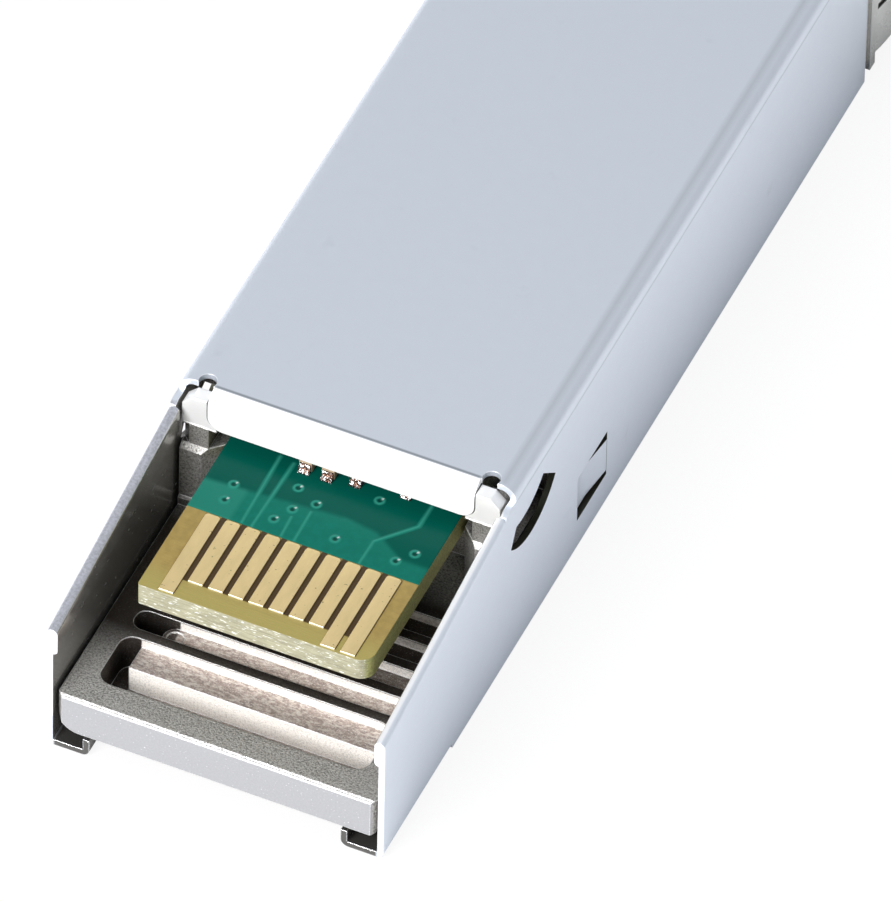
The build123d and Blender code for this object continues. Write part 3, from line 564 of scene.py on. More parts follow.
# What a finish or a painted shade does to the brightness of the colour under it
SHADES = {
    "stains": 0.93,
    "top crease": 0.80,
    "wall crease": 0.72,
    "lip bend": 0.45,
    "hem speckle": 0.72,
    "hooks": 0.3,
    "slot grooves": 1.6,
    "end grain": 1.1,
    "fibre gaps": 0.62,
    "flank gaps": 0.5,
    "weave": 0.8,
    "mask mottle": 1.15,
    "gold marks": 1.1,
    "gold dots": 0.55,
    "solder": 0.8,
    "handling marks": 0.86,
    "plastic mottle": 1.25,
}
# Range that nearly all of a pattern's noise lies in, and how far the smooth normal agrees with the
# face's own on an edge and on a face
MOST_NOISE = (0.3, 0.7)
EDGE_AGREEMENT = (0.86, 0.97)
# Roughness of the plain materials at their dullest and brightest, as shares of the one given
METAL_GLOSS = (1.25, 0.8)
PLASTIC_GLOSS = (1.2, 0.8)
# What the mottle adds to the brightness of a plastic, however dark
BLACK_LIFT = 0.01
# The size of a face's normal along an axis at which the face starts and fully counts as facing it
FACING = (0.7, 0.9)
FACING_STEEP = (0.8, 0.9)
FACING_HALF = (0.5, 0.7)
FACING_LOOSE = (0.5, 0.8)
FACING_CUT = (0.4, 0.6)
FACING_CONTACT = (0.6, 0.8)


def plain_metal(name, tint, roughness, grain, depth, edge=None, stretch=EVEN):
    """Bare or plated metal: grain as a bump, uneven gloss, faint darker handling marks."""
    shader = Shader(name, Metallic=1.0)
    if edge:
        shader.rounded(edge)
    shader.relief(shader.noise(grain, 3.0, 0.6, stretch), depth)
    marks = shader.showing("handling marks", grain)
    duller, brighter = METAL_GLOSS
    gloss = shader.gloss(shader.pattern("metal gloss", grain), roughness * brighter, roughness * duller)
    tint = shader.tinted(marks, tint, tint, SHADES["handling marks"])
    return shader.done(Base_Color=tint, Roughness=gloss)


def plain_plastic(name, tint, roughness, grain, depth, edge=None):
    """Moulded plastic, ceramic or film: fine texture and slightly uneven colour and gloss."""
    shader = Shader(name, Metallic=0.0)
    if edge:
        shader.rounded(edge)
    shader.relief(shader.pattern("plastic grain", grain), depth)
    lighter = tuple(min(1.0, SHADES["plastic mottle"] * channel + BLACK_LIFT) for channel in tint)
    mottle = shader.showing("plastic mottle", grain)
    duller, brighter = PLASTIC_GLOSS
    gloss = shader.gloss(shader.pattern("plastic gloss", grain), roughness * brighter,
                         min(1.0, roughness * duller))
    return shader.done(Base_Color=shader.mix(mottle, tint, lighter), Roughness=gloss)


# Zones with a finish, a painted highlight or a painted shade of their own, as (low, high, softness) in
# millimetres:
# x across the module, side away from its middle, y from its rear end, z above the table
SHEET_INSIDE = {"side": (-1.0, 6.5, 0.02), "z": (-1.0, 8.2, 0.03)}
SHEET_HOOKS = {"side": (-1.0, 6.4, 0.05), "z": (-1.0, 0.95, 0.02)}
SHEET_HEMS = {"y": (-5.0, 10.6, 0.05), "side": (6.2, 9.0, 0.02), "z": (1.5, 9.0, 0.03)}
SHEET_HEM_FACES = {"x": (-9.0, 6.52, 0.03)}
SHEET_OPENINGS = {"y": (10.85, 20.0, 0.03), "z": (1.0, 7.3, 0.03), "side": (6.3, 9.0, 0.03)}
SHEET_LIP = {"y": (10.0, 11.28, 0.03), "side": (-1.0, 5.4, 0.05), "z": (6.5, 9.5, 0.03)}
SHEET_LIP_BEND = {"y": (11.29, 11.40, 0.04), "side": (-1.0, 5.3, 0.1), "z": (8.2, 9.5, 0.03)}
SHEET_TOP_CREASE = {"y": (11.4, 100.0, 0.1), "x": (6.0, 6.25, 0.12), "z": (8.3, 9.5, 0.03)}
SHEET_WALL_CREASE = {"y": (11.4, 100.0, 0.1), "z": (7.82, 7.9, 0.04)}
CASTING_END = {"y": (-5.0, 0.11, 0.01)}
CASTING_EARS = {"y": (10.6, 11.4, 0.03), "z": (6.82, 8.4, 0.02)}
CASTING_SLOTS = {"y": (1.2, 10.0, 0.03), "z": (1.0, 2.66, 0.02), "side": (-1.0, 5.7, 0.03)}
CASTING_FLOORS = {"z": (0.0, 2.6, 0.05)}
CASTING_TONGUE = {"z": (0.0, 3.2, 0.1)}
FIRST_SLOT_END = {"x": (-5.6, -4.67, 0.03)}
LATER_SLOT_ENDS = {"x": (-5.6, -3.75, 0.03), "y": (3.9, 10.0, 0.03)}
BOARD_LEFT = {"x": (-9.0, -2.9, 0.1)}

# The board's painted shade on the tongue: where it starts and ends, how much later on the slots' floors, and
# how strong it is at the slots' ends
SHADE = (3.2, 10.6, 1.0)
SHADE_DELAY = 2.6
SLOT_END_SHADE = 0.85
# Share of free sky in a full hollow and in the open for the painted shade, and what that shade leaves of the
# painted glints
OPEN_SKY = (0.20, 0.50)
DARK_LEVELS = (0.3, 0.9)
DARK_SPECKS = 0.15
# How bright the painted glints are: fine specks on the skin, what the slots add to them, and the larger
# sparks
SKIN_SPECKS, SLOT_SPECKS, SPARK_SHARE = 0.35, 0.6, 0.7
# Width of the change from the left skirt's hem to the right one's, in millimetres
MIDDLE_BLUR = 0.1
# How the cover's inside, its lip and the casting's smooth faces and slot walls differ from the rest
INSIDE_SMOOTHER, INSIDE_MORE_METALLIC = 0.14, 0.2
LIP_LESS_METALLIC = 0.45
POLISHED_LESS_METALLIC, WALLS_LESS_METALLIC = 0.5, 0.85

# The laminate's pale strip behind the contacts, and the painted shade in strips between them, in millimetres
STRIP_REACH, STRIP_END, STRIP_BLUR = 2.0, 0.9, 0.5
GAP_CENTRE, GAP_START, GAP_END = 0.1, 0.8, 0.1
GAP_EDGE = (0.09 * MM, 0.13 * MM)


def sheet_metal(metals):
    """Satin plated sheet: fine orange peel, soft stains and scratches; painted highlights on the lip, the
    rims and the right hem, and painted shade on the inside, the hooks, the left hem, the bends and the cut
    faces round the slits.
    """
    shader = Shader("satin_sheet")
    shader.rounded(metals.sheet_edge)
    sideways = shader.facing("X", *FACING)
    hooks = shader.zone(SHEET_HOOKS)
    inside = shader.maths("MAXIMUM", shader.every(sideways, shader.zone(SHEET_INSIDE)), hooks)
    hems = shader.every(shader.without(sideways), shader.zone(SHEET_HEMS))
    cuts = shader.every(shader.without(shader.facing("X", *FACING_CUT)), shader.zone(SHEET_OPENINGS))
    lip = shader.zone(SHEET_LIP)

    shader.relief(shader.pattern("orange peel"), metals.peel_depth)
    shader.relief(shader.pattern("waves"), metals.wave_depth)
    shader.relief(shader.showing("scratches"), metals.scratch_depth)
    shader.relief(shader.every(shader.pattern("hem grain"), hems), metals.hem_depth)

    tint = shader.shaded(shader.showing("stains"), metals.sheet, SHADES["stains"])
    # Painted shade along the bend from the top to the right side, and a thin line where the bends meet the
    # sides
    tint = shader.tinted(shader.zone(SHEET_TOP_CREASE), tint, metals.sheet, SHADES["top crease"])
    wall_crease = shader.every(shader.zone(SHEET_WALL_CREASE), sideways)
    tint = shader.tinted(wall_crease, tint, metals.sheet, SHADES["wall crease"])
    # Painted highlight over the lip, and painted shade along its bend
    tint = shader.mix(lip, tint, metals.sheet_lip_highlight)
    tint = shader.tinted(shader.zone(SHEET_LIP_BEND), tint, metals.sheet, SHADES["lip bend"])
    # Painted shade with speckle on the left hem, and a painted highlight on the right hem and on hem faces
    # that look along y
    hem_tint = shader.shaded(shader.showing("hem speckle"), metals.sheet_hem_shade, SHADES["hem speckle"])
    right_half = shader.span(shader.axes()["X"], 0.0, MIDDLE_BLUR * MM)
    bright_hem = shader.maths("MAXIMUM", right_half, shader.facing("Y", *FACING_STEEP))
    hem_tint = shader.mix(bright_hem, hem_tint, metals.sheet_rim_highlight)
    tint = shader.mix(shader.every(hems, shader.zone(SHEET_HEM_FACES)), tint, hem_tint)
    # Painted shade on the cover's inner faces, darker still in the hooks
    tint = shader.mix(inside, tint, metals.sheet_inside_shade)
    tint = shader.tinted(hooks, tint, metals.sheet_inside_shade, SHADES["hooks"])
    # Painted shade on the cut faces round the wall openings
    tint = shader.mix(cuts, tint, metals.sheet_cut_shade)
    # Painted highlight along the cover's edges, but not on the cut faces
    rims = shader.every(shader.edges(metals.rim_width), shader.without(cuts))
    tint = shader.mix(rims, tint, metals.sheet_rim_highlight)

    gloss = shader.gloss(shader.pattern("sheet gloss"), low=0.34, high=0.42)
    gloss = shader.maths("SUBTRACT", gloss, shader.every(inside, INSIDE_SMOOTHER))
    metallic = shader.maths("ADD", metals.sheet_metallic, shader.every(inside, INSIDE_MORE_METALLIC))
    metallic = shader.maths("SUBTRACT", metallic, shader.every(lip, LIP_LESS_METALLIC))
    return shader.done(Base_Color=tint, Roughness=gloss, Metallic=metallic)


def cast_metal(metals):
    """Plated die casting: pebbled skin, smooth rear face and ears; painted highlights on the edges, the slot
    walls, the ears and in glints, and painted shade in the hollows, the slots and under the board.
    """
    shader = Shader("die_casting")
    shader.rounded(metals.casting_edge)
    end = shader.zone(CASTING_END)
    ears = shader.zone(CASTING_EARS)
    slots = shader.zone(CASTING_SLOTS)
    polished = shader.maths("MAXIMUM", end, ears)
    slot_ends = shader.maths("MAXIMUM", shader.zone(FIRST_SLOT_END), shader.zone(LATER_SLOT_ENDS))
    slot_ends = shader.every(slots, slot_ends)
    walls = shader.every(slots, shader.facing("Y", *FACING_HALF), shader.without(slot_ends))

    pebbles = shader.pattern("pebbles", metals.grain)
    fine = shader.pattern("fine grain", metals.grain)
    strength = shader.span(polished, 0.0, 1.0, 1.0, metals.polished_grain)
    shader.relief(shader.every(shader.pattern("swell", metals.grain), strength), metals.swell_depth)
    shader.relief(shader.every(pebbles, strength), metals.pebble_depth)
    shader.relief(shader.every(fine, strength), metals.fine_depth)

    # Skin, and the slots with their own painted shade, streaked with the painted wall highlight
    crests = shader.maths("MAXIMUM", shader.span(pebbles, *LEVELS["crests"]), polished)
    skin = shader.mix(crests, metals.casting_pit, metals.casting)
    grooves = shader.span(pebbles, *LEVELS["slot grooves"])
    slot_skin = shader.shaded(grooves, metals.casting_recess_shade, SHADES["slot grooves"])
    streaks = shader.every(shader.showing("streaks", metals.grain), metals.streak_share)
    slot_skin = shader.mix(streaks, slot_skin, metals.casting_wall_highlight)
    skin = shader.mix(slots, skin, slot_skin)

    # Painted shade in the hollows, at the slots' ends and under the board
    delay = shader.every(shader.zone(CASTING_FLOORS), SHADE_DELAY * MM)
    from_rear = shader.maths("SUBTRACT", shader.axes()["Y"], REAR_END)
    along = shader.maths("SUBTRACT", from_rear, delay)
    shade = shader.every(shader.within(along, *SHADE), shader.zone(CASTING_TONGUE))
    shade = shader.maths("MAXIMUM", shade, shader.every(slot_ends, SLOT_END_SHADE))
    dark = shader.maths("MAXIMUM", shader.hollows(metals.hollow_reach, *OPEN_SKY), shade)
    skin = shader.mix(dark, skin, metals.casting_hollow_shade)

    # Painted highlights: bright slot walls, glints on grains that catch the light, and bright edges
    # Painted highlight on the slots' rear-facing walls, broken by the grain
    glints = shader.span(pebbles, *LEVELS["wall glints"], metals.wall_share, 1.0)
    skin = shader.mix(shader.every(walls, glints), skin, metals.casting_wall_highlight)
    lit = shader.span(dark, *DARK_LEVELS, 1.0, DARK_SPECKS)
    # Painted glints on the grain, only where there is no painted shade
    speck_share = shader.maths("ADD", SKIN_SPECKS, shader.every(slots, SLOT_SPECKS))
    specks = shader.every(shader.showing("specks", metals.grain), speck_share, lit)
    skin = shader.mix(specks, skin, metals.casting_highlight)
    end_grain = shader.span(pebbles, *LEVELS["end grain"])
    end_skin = shader.shaded(end_grain, metals.casting_end, SHADES["end grain"])
    skin = shader.mix(end, skin, end_skin)
    sparks = shader.every(shader.showing("sparks", metals.grain), lit, SPARK_SHARE)
    skin = shader.mix(sparks, skin, metals.casting_highlight)
    # Painted highlight over the ears
    skin = shader.mix(ears, skin, metals.casting_ear_highlight)
    # Painted highlight along the casting's edges, but not on the ears
    highlighted = shader.every(shader.edges(metals.casting_edge), shader.without(ears))
    skin = shader.mix(highlighted, skin, metals.casting_highlight)

    dull = shader.maths("MAXIMUM", shader.every(polished, POLISHED_LESS_METALLIC),
                        shader.every(walls, WALLS_LESS_METALLIC))
    metallic = shader.maths("SUBTRACT", metals.casting_metallic, dull)
    gloss = shader.gloss(fine, low=0.30, high=0.44)
    return shader.done(Base_Color=skin, Roughness=gloss, Metallic=metallic)


def laminate(board):
    """Glass-fibre laminate: woven top face, painted shade between the contacts, pale fibrous cut edges."""
    low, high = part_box("edge_contacts_upper")
    shader = Shader("glass_laminate", Metallic=0.0, Specular_IOR_Level=0.4)
    place = shader.axes()
    fibres = shader.pattern("fibres")
    gaps = shader.span(fibres, *LEVELS["fibre gaps"])
    cut = shader.shaded(gaps, board.cut_edge, SHADES["fibre gaps"])
    cut = shader.mix(shader.showing("flecks"), cut, board.fleck)
    flank = shader.shaded(gaps, board.cut_flank, SHADES["flank gaps"])
    cut = shader.mix(shader.facing("X", *FACING_LOOSE), cut, flank)
    face = shader.shaded(shader.showing("weave"), board.laminate, SHADES["weave"])
    rear_strip = shader.within(place["Y"], low.y / MM - STRIP_REACH, low.y / MM + STRIP_END, STRIP_BLUR)
    face = shader.mix(rear_strip, face, board.laminate_rear)
    # Painted shade in strips between the contacts, beside each one
    along = shader.maths("SUBTRACT", place["X"], low.x - GAP_CENTRE * MM)
    turn = shader.maths("PINGPONG", along, CONTACT_PITCH / 2 * MM)
    gap = shader.every(shader.span(turn, *GAP_EDGE, 1.0, 0.0),
                       shader.within(place["X"], low.x / MM, high.x / MM),
                       shader.within(place["Y"], low.y / MM + GAP_START, high.y / MM + GAP_END))
    face = shader.mix(gap, face, board.laminate_gap_shade)
    shader.rounded(board.laminate_edge)
    shader.relief(fibres, board.fibre_depth)
    flat = shader.facing("Z", *FACING_LOOSE)
    return shader.done(Base_Color=shader.mix(flat, cut, face), Roughness=0.45)


def solder_mask(board):
    """Green mask: dark over copper, lighter over laminate and on the tracks' crests, with a painted glint in
    each via.
    """
    shader = Shader("solder_mask", Metallic=0.0, Specular_IOR_Level=0.05)
    ground = shader.shaded(shader.showing("mask mottle"), board.mask, SHADES["mask mottle"])
    ground = shader.mix(shader.zone(BOARD_LEFT), ground, board.mask_left)
    # The last layer, bare, lays a painted glint of the solder's colour in each via
    for layer, tint in (("copper", board.mask_copper), ("crest", board.mask_trace),
                        ("hole", board.mask_hole), ("bare", board.solder)):
        ground = shader.mix(shader.attribute(layer), ground, tint)
    shader.relief(shader.pattern("mask waves"), board.mask_depth)
    return shader.done(Base_Color=ground, Roughness=0.3)


def gold_plate(board):
    """Hard gold over nickel: fine scratches along the way that the contacts slide in, painted shade on the
    upright sides and a painted highlight on the rear ends.
    """
    shader = Shader("gold_plating", Metallic=0.7)
    grain = shader.pattern("gold grain")
    shader.relief(shader.pattern("wiping"), board.wipe_depth)
    shader.relief(grain, board.gold_depth)
    tint = shader.shaded(shader.showing("gold marks"), board.gold, SHADES["gold marks"])
    tint = shader.tinted(shader.showing("gold dots"), tint, board.gold, SHADES["gold dots"])
    # Painted shade on the contacts' upright sides and a painted highlight on their rear ends
    tint = shader.mix(shader.facing("X", *FACING_CONTACT), tint, board.gold_side_shade)
    tint = shader.mix(shader.facing("Y", *FACING_CONTACT), tint, board.gold_end_highlight)
    return shader.done(Base_Color=tint, Roughness=shader.gloss(grain, low=0.30, high=0.45))


def solder_metal(board):
    """Reflowed solder: lumpy and bright, with dark flux between the lumps."""
    shader = Shader("solder", Metallic=0.9)
    shader.rounded(board.solder_edge)
    lumps = shader.pattern("solder lumps")
    shader.relief(lumps, board.lump_depth)
    bright = tuple(SHADES["solder"] * channel for channel in board.solder)
    tint = shader.mix(shader.span(lumps, *LEVELS["flux"]), bright, board.flux)
    return shader.done(Base_Color=tint, Roughness=shader.gloss(lumps, low=0.16, high=0.3))


# Tracks and vias on the board: x from the middle and y from the module's rear end, in millimetres
TRACKS = (
    ((-2.55, 11.08), (-2.46, 7.55)),
    ((-1.96, 10.96), (-2.05, 7.55)),
    ((-0.94, 8.53), (-0.89, 7.55)),
    ((-0.40, 9.04), (-0.37, 7.55)),
    ((3.45, 11.6), (3.42, 10.06), (2.25, 8.71), (2.22, 7.55)),
)
VIAS = ((-3.50, 9.11), (-3.48, 8.28), (-1.31, 9.94), (-1.06, 8.89), (-1.47, 8.17), (-0.38, 9.48),
        (0.94, 8.22), (1.61, 10.63), (3.86, 8.77), (3.37, 8.16))
# Edge of the copper under the mask, and from a via's centre to the painted glint in it
POUR_EDGE = ((-4.7, 8.95), (-2.9, 9.05), (-0.2, 9.24), (0.9, 9.34), (2.2, 9.13), (3.5, 8.3), (4.7, 8.3))
GLINT_OFFSET = (0.08, 0.11)
GLINT_EDGE = (0.035, 0.05)
GLINT_SHARE = 0.7
POUR_SOFTNESS = 0.3
TRACK_SOFTNESS = 0.07
TRACK_CLEARANCE = 0.05
# A via's hole: its radius as a share of the ring's, its soft edge, and its depth in track heights
HOLE_SHARE = 0.45
HOLE_SOFTNESS = 0.06
HOLE_SINK = 1.6
# The mask's rim, rounded off over a short way
RIM_SINK = 0.8
RIM_EDGE = (0.02, 0.04)
# Grid of the mask: fine behind the contacts, coarse under the cover
FINE_LENGTH = 6.0
FINE_STEP = 0.045
COARSE_STEP = 0.4
FAR = 1e3


def segment_distance(x, y, start, end):
    """Distance from points to a straight segment: the point is projected on it and kept within it."""
    run = np.array(end) - np.array(start)
    share = np.clip(((x - start[0]) * run[0] + (y - start[1]) * run[1]) / (run @ run), 0, 1)
    return np.hypot(x - start[0] - share * run[0], y - start[1] - share * run[1])


def fall(distance, edge, softness):
    """1 inside an edge and 0 outside, with a smooth step between."""
    share = np.clip((edge + softness / 2 - distance) / softness, 0, 1)
    return share * share * (3 - 2 * share)


def mask_surface(board, low, high):
    """The mask as a height over a grid of x and y.

    Height = film + rise * (nearness to a track or a via's ring - sink * nearness to a via's hole),
    less a little along the rim. Also gives one layer of shares for each colour of the mask.
    """
    across = max(2, int((high.x - low.x) / (FINE_STEP * MM)))
    x = np.linspace(low.x, high.x, across)
    fine_end = low.y + FINE_LENGTH * MM
    y = np.concatenate([np.arange(low.y, fine_end, FINE_STEP * MM),
                        np.arange(fine_end, high.y - COARSE_STEP * MM / 2, COARSE_STEP * MM), [high.y]])
    grid_x, grid_y = np.meshgrid(x, y)
    local_x, local_y = grid_x / MM, (grid_y - REAR_END) / MM
    track = np.full(grid_x.shape, FAR)
    for route in TRACKS:
        for start, end in zip(route, route[1:]):
            track = np.minimum(track, segment_distance(local_x, local_y, start, end))
    via, glint = np.full(grid_x.shape, FAR), np.full(grid_x.shape, FAR)
    for x_via, y_via in VIAS:
        away_x, away_y = local_x - x_via, local_y - y_via
        via = np.minimum(via, np.hypot(away_x, away_y))
        glint = np.minimum(glint, np.hypot(away_x - GLINT_OFFSET[0], away_y - GLINT_OFFSET[1]))
    half_track, ring_radius = board.track_width / MM / 2, board.via_radius / MM
    on_track = fall(track, half_track, TRACK_SOFTNESS)
    on_ring = fall(via, ring_radius, TRACK_SOFTNESS)
    in_hole = fall(via, ring_radius * HOLE_SHARE, HOLE_SOFTNESS)
    rim = np.minimum(grid_y - low.y, np.minimum(grid_x - low.x, high.x - grid_x))
    height = high.z + board.track_rise * (np.maximum(on_track, on_ring) - HOLE_SINK * in_hole
                                          - RIM_SINK * fall(rim / MM, *RIM_EDGE))
    points = np.stack([grid_x, grid_y, height], axis=-1)
    pour_limit = np.interp(local_x, *np.transpose(POUR_EDGE))
    copper = 1 - fall(local_y - pour_limit, 0.0, POUR_SOFTNESS)
    copper *= 1 - fall(track, half_track + TRACK_CLEARANCE, RIM_EDGE[1]) * (1 - on_track)
    crest = np.maximum(on_track, on_ring * (1 - in_hole))
    # The bare layer is a painted glint, set off from each via's centre
    layers = {"copper": copper, "crest": crest, "hole": in_hole,
              "bare": GLINT_SHARE * fall(glint, *GLINT_EDGE)}
    return points, layers


def closed_height_mesh(name, points, floor):
    """A grid of heights made solid: its border goes straight down to a flat floor."""
    rows, columns = points.shape[:2]
    index = np.arange(rows * columns).reshape(rows, columns)
    border = np.concatenate([index[0, :-1], index[:-1, -1], index[-1, :0:-1], index[:0:-1, 0]])
    flat = points.reshape(-1, 3)
    foot = flat[border].copy()
    foot[:, 2] = floor
    count, ring = len(flat), len(border)
    here = np.arange(ring)
    after = (here + 1) % ring
    walls = np.stack([count + here, count + after, border[after], border[here]], axis=-1)
    quads = np.concatenate([grid_quads(rows, columns, False), walls])
    cap = (count + here)[::-1]
    return surface_mesh(name, np.concatenate([flat, foot]), quads, (cap,), crease=60.0), ring


def store(mesh, name, values):
    """Keeps one number for each of a mesh's points under a name."""
    layer = mesh.attributes.new(name, "FLOAT", "POINT")
    layer.data.foreach_set("value", values.astype(np.float32))


# Contacts of the card edge, as the CAD has them
CONTACT_COUNT = 10
CONTACT_PITCH = 0.8
LONG_CONTACTS = (0, 8, 9)
SHORT_SETBACK = 0.79
FRONT_ROUNDING = 0.14
REAR_ROUNDING = 0.03


def contact_surfaces(board):
    """Ten contacts: each a rounded outline with a rim profile that is a quarter circle."""
    low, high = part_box("edge_contacts_upper")
    width = (high.x - low.x) - (CONTACT_COUNT - 1) * CONTACT_PITCH * MM
    front, rear = FRONT_ROUNDING * MM, REAR_ROUNDING * MM
    profile = rounded_rim(low.z, high.z, board.contact_edge, False)
    surfaces = []
    for number in range(CONTACT_COUNT):
        left = low.x + number * CONTACT_PITCH * MM
        start = low.y if number in LONG_CONTACTS else low.y + SHORT_SETBACK * MM
        outline, normals = rounded_outline((left, start), (left + width, high.y),
                                           (front, front, rear, rear))
        surfaces.append(plate_surface(outline, normals, profile))
    return surfaces


def coil_surface(centre, low, high, radius, wire, turns, steps=40, sides=12):
    """A coil spring: a circle of the wire's radius carried along a helix.

    Centre line = (radius cos a, radius sin a, z), with a from 0 to 2 pi * turns and z rising evenly
    but for flat end turns. The circle lies across the line, in the plane of the outward direction
    and the upright.
    """
    share = np.linspace(0, 1, turns * steps)
    angle = share * turns * 2 * math.pi
    rise = low + wire + (high - low - 2 * wire) * np.clip((share * turns - 0.5) / (turns - 1), 0, 1)
    outward = np.stack([np.cos(angle), np.sin(angle), np.zeros_like(angle)], axis=-1)
    line = radius * outward + np.stack([np.full_like(angle, centre[0]), np.full_like(angle, centre[1]), rise],
                                       axis=-1)
    around = np.linspace(0, 2 * math.pi, sides, endpoint=False)
    upright = np.array([0.0, 0.0, 1.0])
    points = (line[:, None] + wire * np.cos(around)[None, :, None] * outward[:, None]
              + wire * np.sin(around)[None, :, None] * upright)
    quads = grid_quads(len(share), sides, True)[:, ::-1]
    low_cap = np.arange(sides)
    high_cap = (np.arange(sides) + (len(share) - 1) * sides)[::-1]
    return points, quads, (low_cap, high_cap)


# Operators

class MODULE_OT_cover(bpy.types.Operator):
    """Dresses the bent sheet cover"""
    bl_idname = "module.cover"
    bl_label = "Cover"

    def execute(self, context):
        mesh = node_copy("cover", "cover_sheet_metal")
        link_piece("cover_sheet_metal", mesh, sheet_metal(context.scene.module_metal), ["cover"])
        return {"FINISHED"}


class MODULE_OT_casting(bpy.types.Operator):
    """Dresses the die-cast base"""
    bl_idname = "module.casting"
    bl_label = "Casting"

    def execute(self, context):
        mesh = node_copy("base_housing", "base_casting")
        link_piece("base_casting", mesh, cast_metal(context.scene.module_metal), ["base_housing"])
        return {"FINISHED"}


class MODULE_OT_board(bpy.types.Operator):
    """Dresses the laminate and lays the solder mask with its tracks and vias"""
    bl_idname = "module.board"
    bl_label = "Circuit board"

    def execute(self, context):
        board = context.scene.module_board
        mesh = node_copy("circuit_board", "board_laminate_sheet")
        link_piece("board_laminate_sheet", mesh, laminate(board), ["circuit_board"])
        material = solder_mask(board)
        low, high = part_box("solder_mask_upper")
        points, layers = mask_surface(board, low, high)
        mesh, ring = closed_height_mesh("mask_film_upper", points, low.z)
        for name, values in layers.items():
            store(mesh, name, np.concatenate([values.ravel(), np.zeros(ring)]))
        link_piece("mask_film_upper", mesh, material, ["solder_mask_upper"])
        mesh = node_copy("solder_mask_lower", "mask_film_lower")
        link_piece("mask_film_lower", mesh, material, ["solder_mask_lower"])
        return {"FINISHED"}


class MODULE_OT_contacts(bpy.types.Operator):
    """Lays the gold contacts of the card edge"""
    bl_idname = "module.contacts"
    bl_label = "Edge contacts"

    def execute(self, context):
        board = context.scene.module_board
        material = gold_plate(board)
        mesh = join_surfaces("contact_row_upper", contact_surfaces(board), crease=50.0)
        link_piece("contact_row_upper", mesh, material, ["edge_contacts_upper"])
        mesh = node_copy("edge_contacts_lower", "contact_row_lower")
        link_piece("contact_row_lower", mesh, material, ["edge_contacts_lower"])
        return {"FINISHED"}


class MODULE_OT_components(bpy.types.Operator):
    """Dresses the chips, the small components and their solder"""
    bl_idname = "module.components"
    bl_label = "Chips and components"

    def execute(self, context):
        board = context.scene.module_board
        mould = plain_plastic("chip_mould", board.mould, roughness=0.55, grain=0.05 * MM, depth=0.004 * MM,
                              edge=0.05 * MM)
        for node, name in (("laser_driver_chip", "driver_package"), ("controller_chip", "controller_package"),
                           ("memory_chip", "memory_package"), ("amplifier_chip", "amplifier_package")):
            link_piece(name, node_copy(node, name), mould, [node])
        for node, name, tint, roughness in (
                ("chip_capacitors", "capacitor_bodies", board.capacitor, 0.5),
                ("chip_resistors", "resistor_bodies", board.resistor, 0.3),
                ("ferrite_beads", "bead_bodies", board.ferrite, 0.6)):
            material = plain_plastic(name, tint, roughness, grain=0.04 * MM, depth=0.003 * MM,
                                     edge=0.03 * MM)
            link_piece(name, node_copy(node, name), material, [node])
        solder = solder_metal(board)
        link_piece("solder_fillets", node_copy("solder_joints", "solder_fillets"), solder, ["solder_joints"])
        return {"FINISHED"}


class MODULE_OT_optics(bpy.types.Operator):
    """Dresses both optical sub-assemblies and their clamp"""
    bl_idname = "module.optics"
    bl_label = "Optics"

    def execute(self, context):
        metals, front = context.scene.module_metal, context.scene.module_front
        small = metals.small_edge
        can = plain_metal("can_plating", metals.can, roughness=0.28, grain=0.06 * MM, depth=0.0015 * MM,
                          edge=small)
        barrel = plain_metal("turned_steel", metals.barrel, roughness=0.3, grain=0.05 * MM,
                             depth=0.0015 * MM, edge=small, stretch=(12, 1, 12))
        ceramic = plain_plastic("polished_ceramic", front.ceramic, roughness=0.18, grain=0.05 * MM,
                                depth=0.0006 * MM, edge=small)
        film = plain_plastic("flex_film", front.film, roughness=0.3, grain=0.2 * MM, depth=0.002 * MM)
        for side in ("transmitter", "receiver"):
            for part, material in (("can", can), ("barrel", barrel), ("sleeve", ceramic), ("flex", film)):
                name = f"{side}_{part}_piece"
                link_piece(name, node_copy(f"{side}_{part}", name), material, [f"{side}_{part}"])
        clamp = plain_plastic("clamp_plastic", front.clamp, roughness=0.55, grain=0.08 * MM,
                              depth=0.005 * MM, edge=0.08 * MM)
        link_piece("clamp_saddle", node_copy("optics_clamp", "clamp_saddle"), clamp, ["optics_clamp"])
        return {"FINISHED"}


class MODULE_OT_collar(bpy.types.Operator):
    """Dresses the spring collar round the nose"""
    bl_idname = "module.collar"
    bl_label = "Spring collar"

    def execute(self, context):
        metals = context.scene.module_metal
        material = plain_metal("spring_sheet", metals.spring, roughness=0.24, grain=0.08 * MM,
                               depth=0.0012 * MM, edge=metals.sheet_edge, stretch=(1, 14, 1))
        link_piece("collar_fingers", node_copy("emi_collar", "collar_fingers"), material, ["emi_collar"])
        return {"FINISHED"}


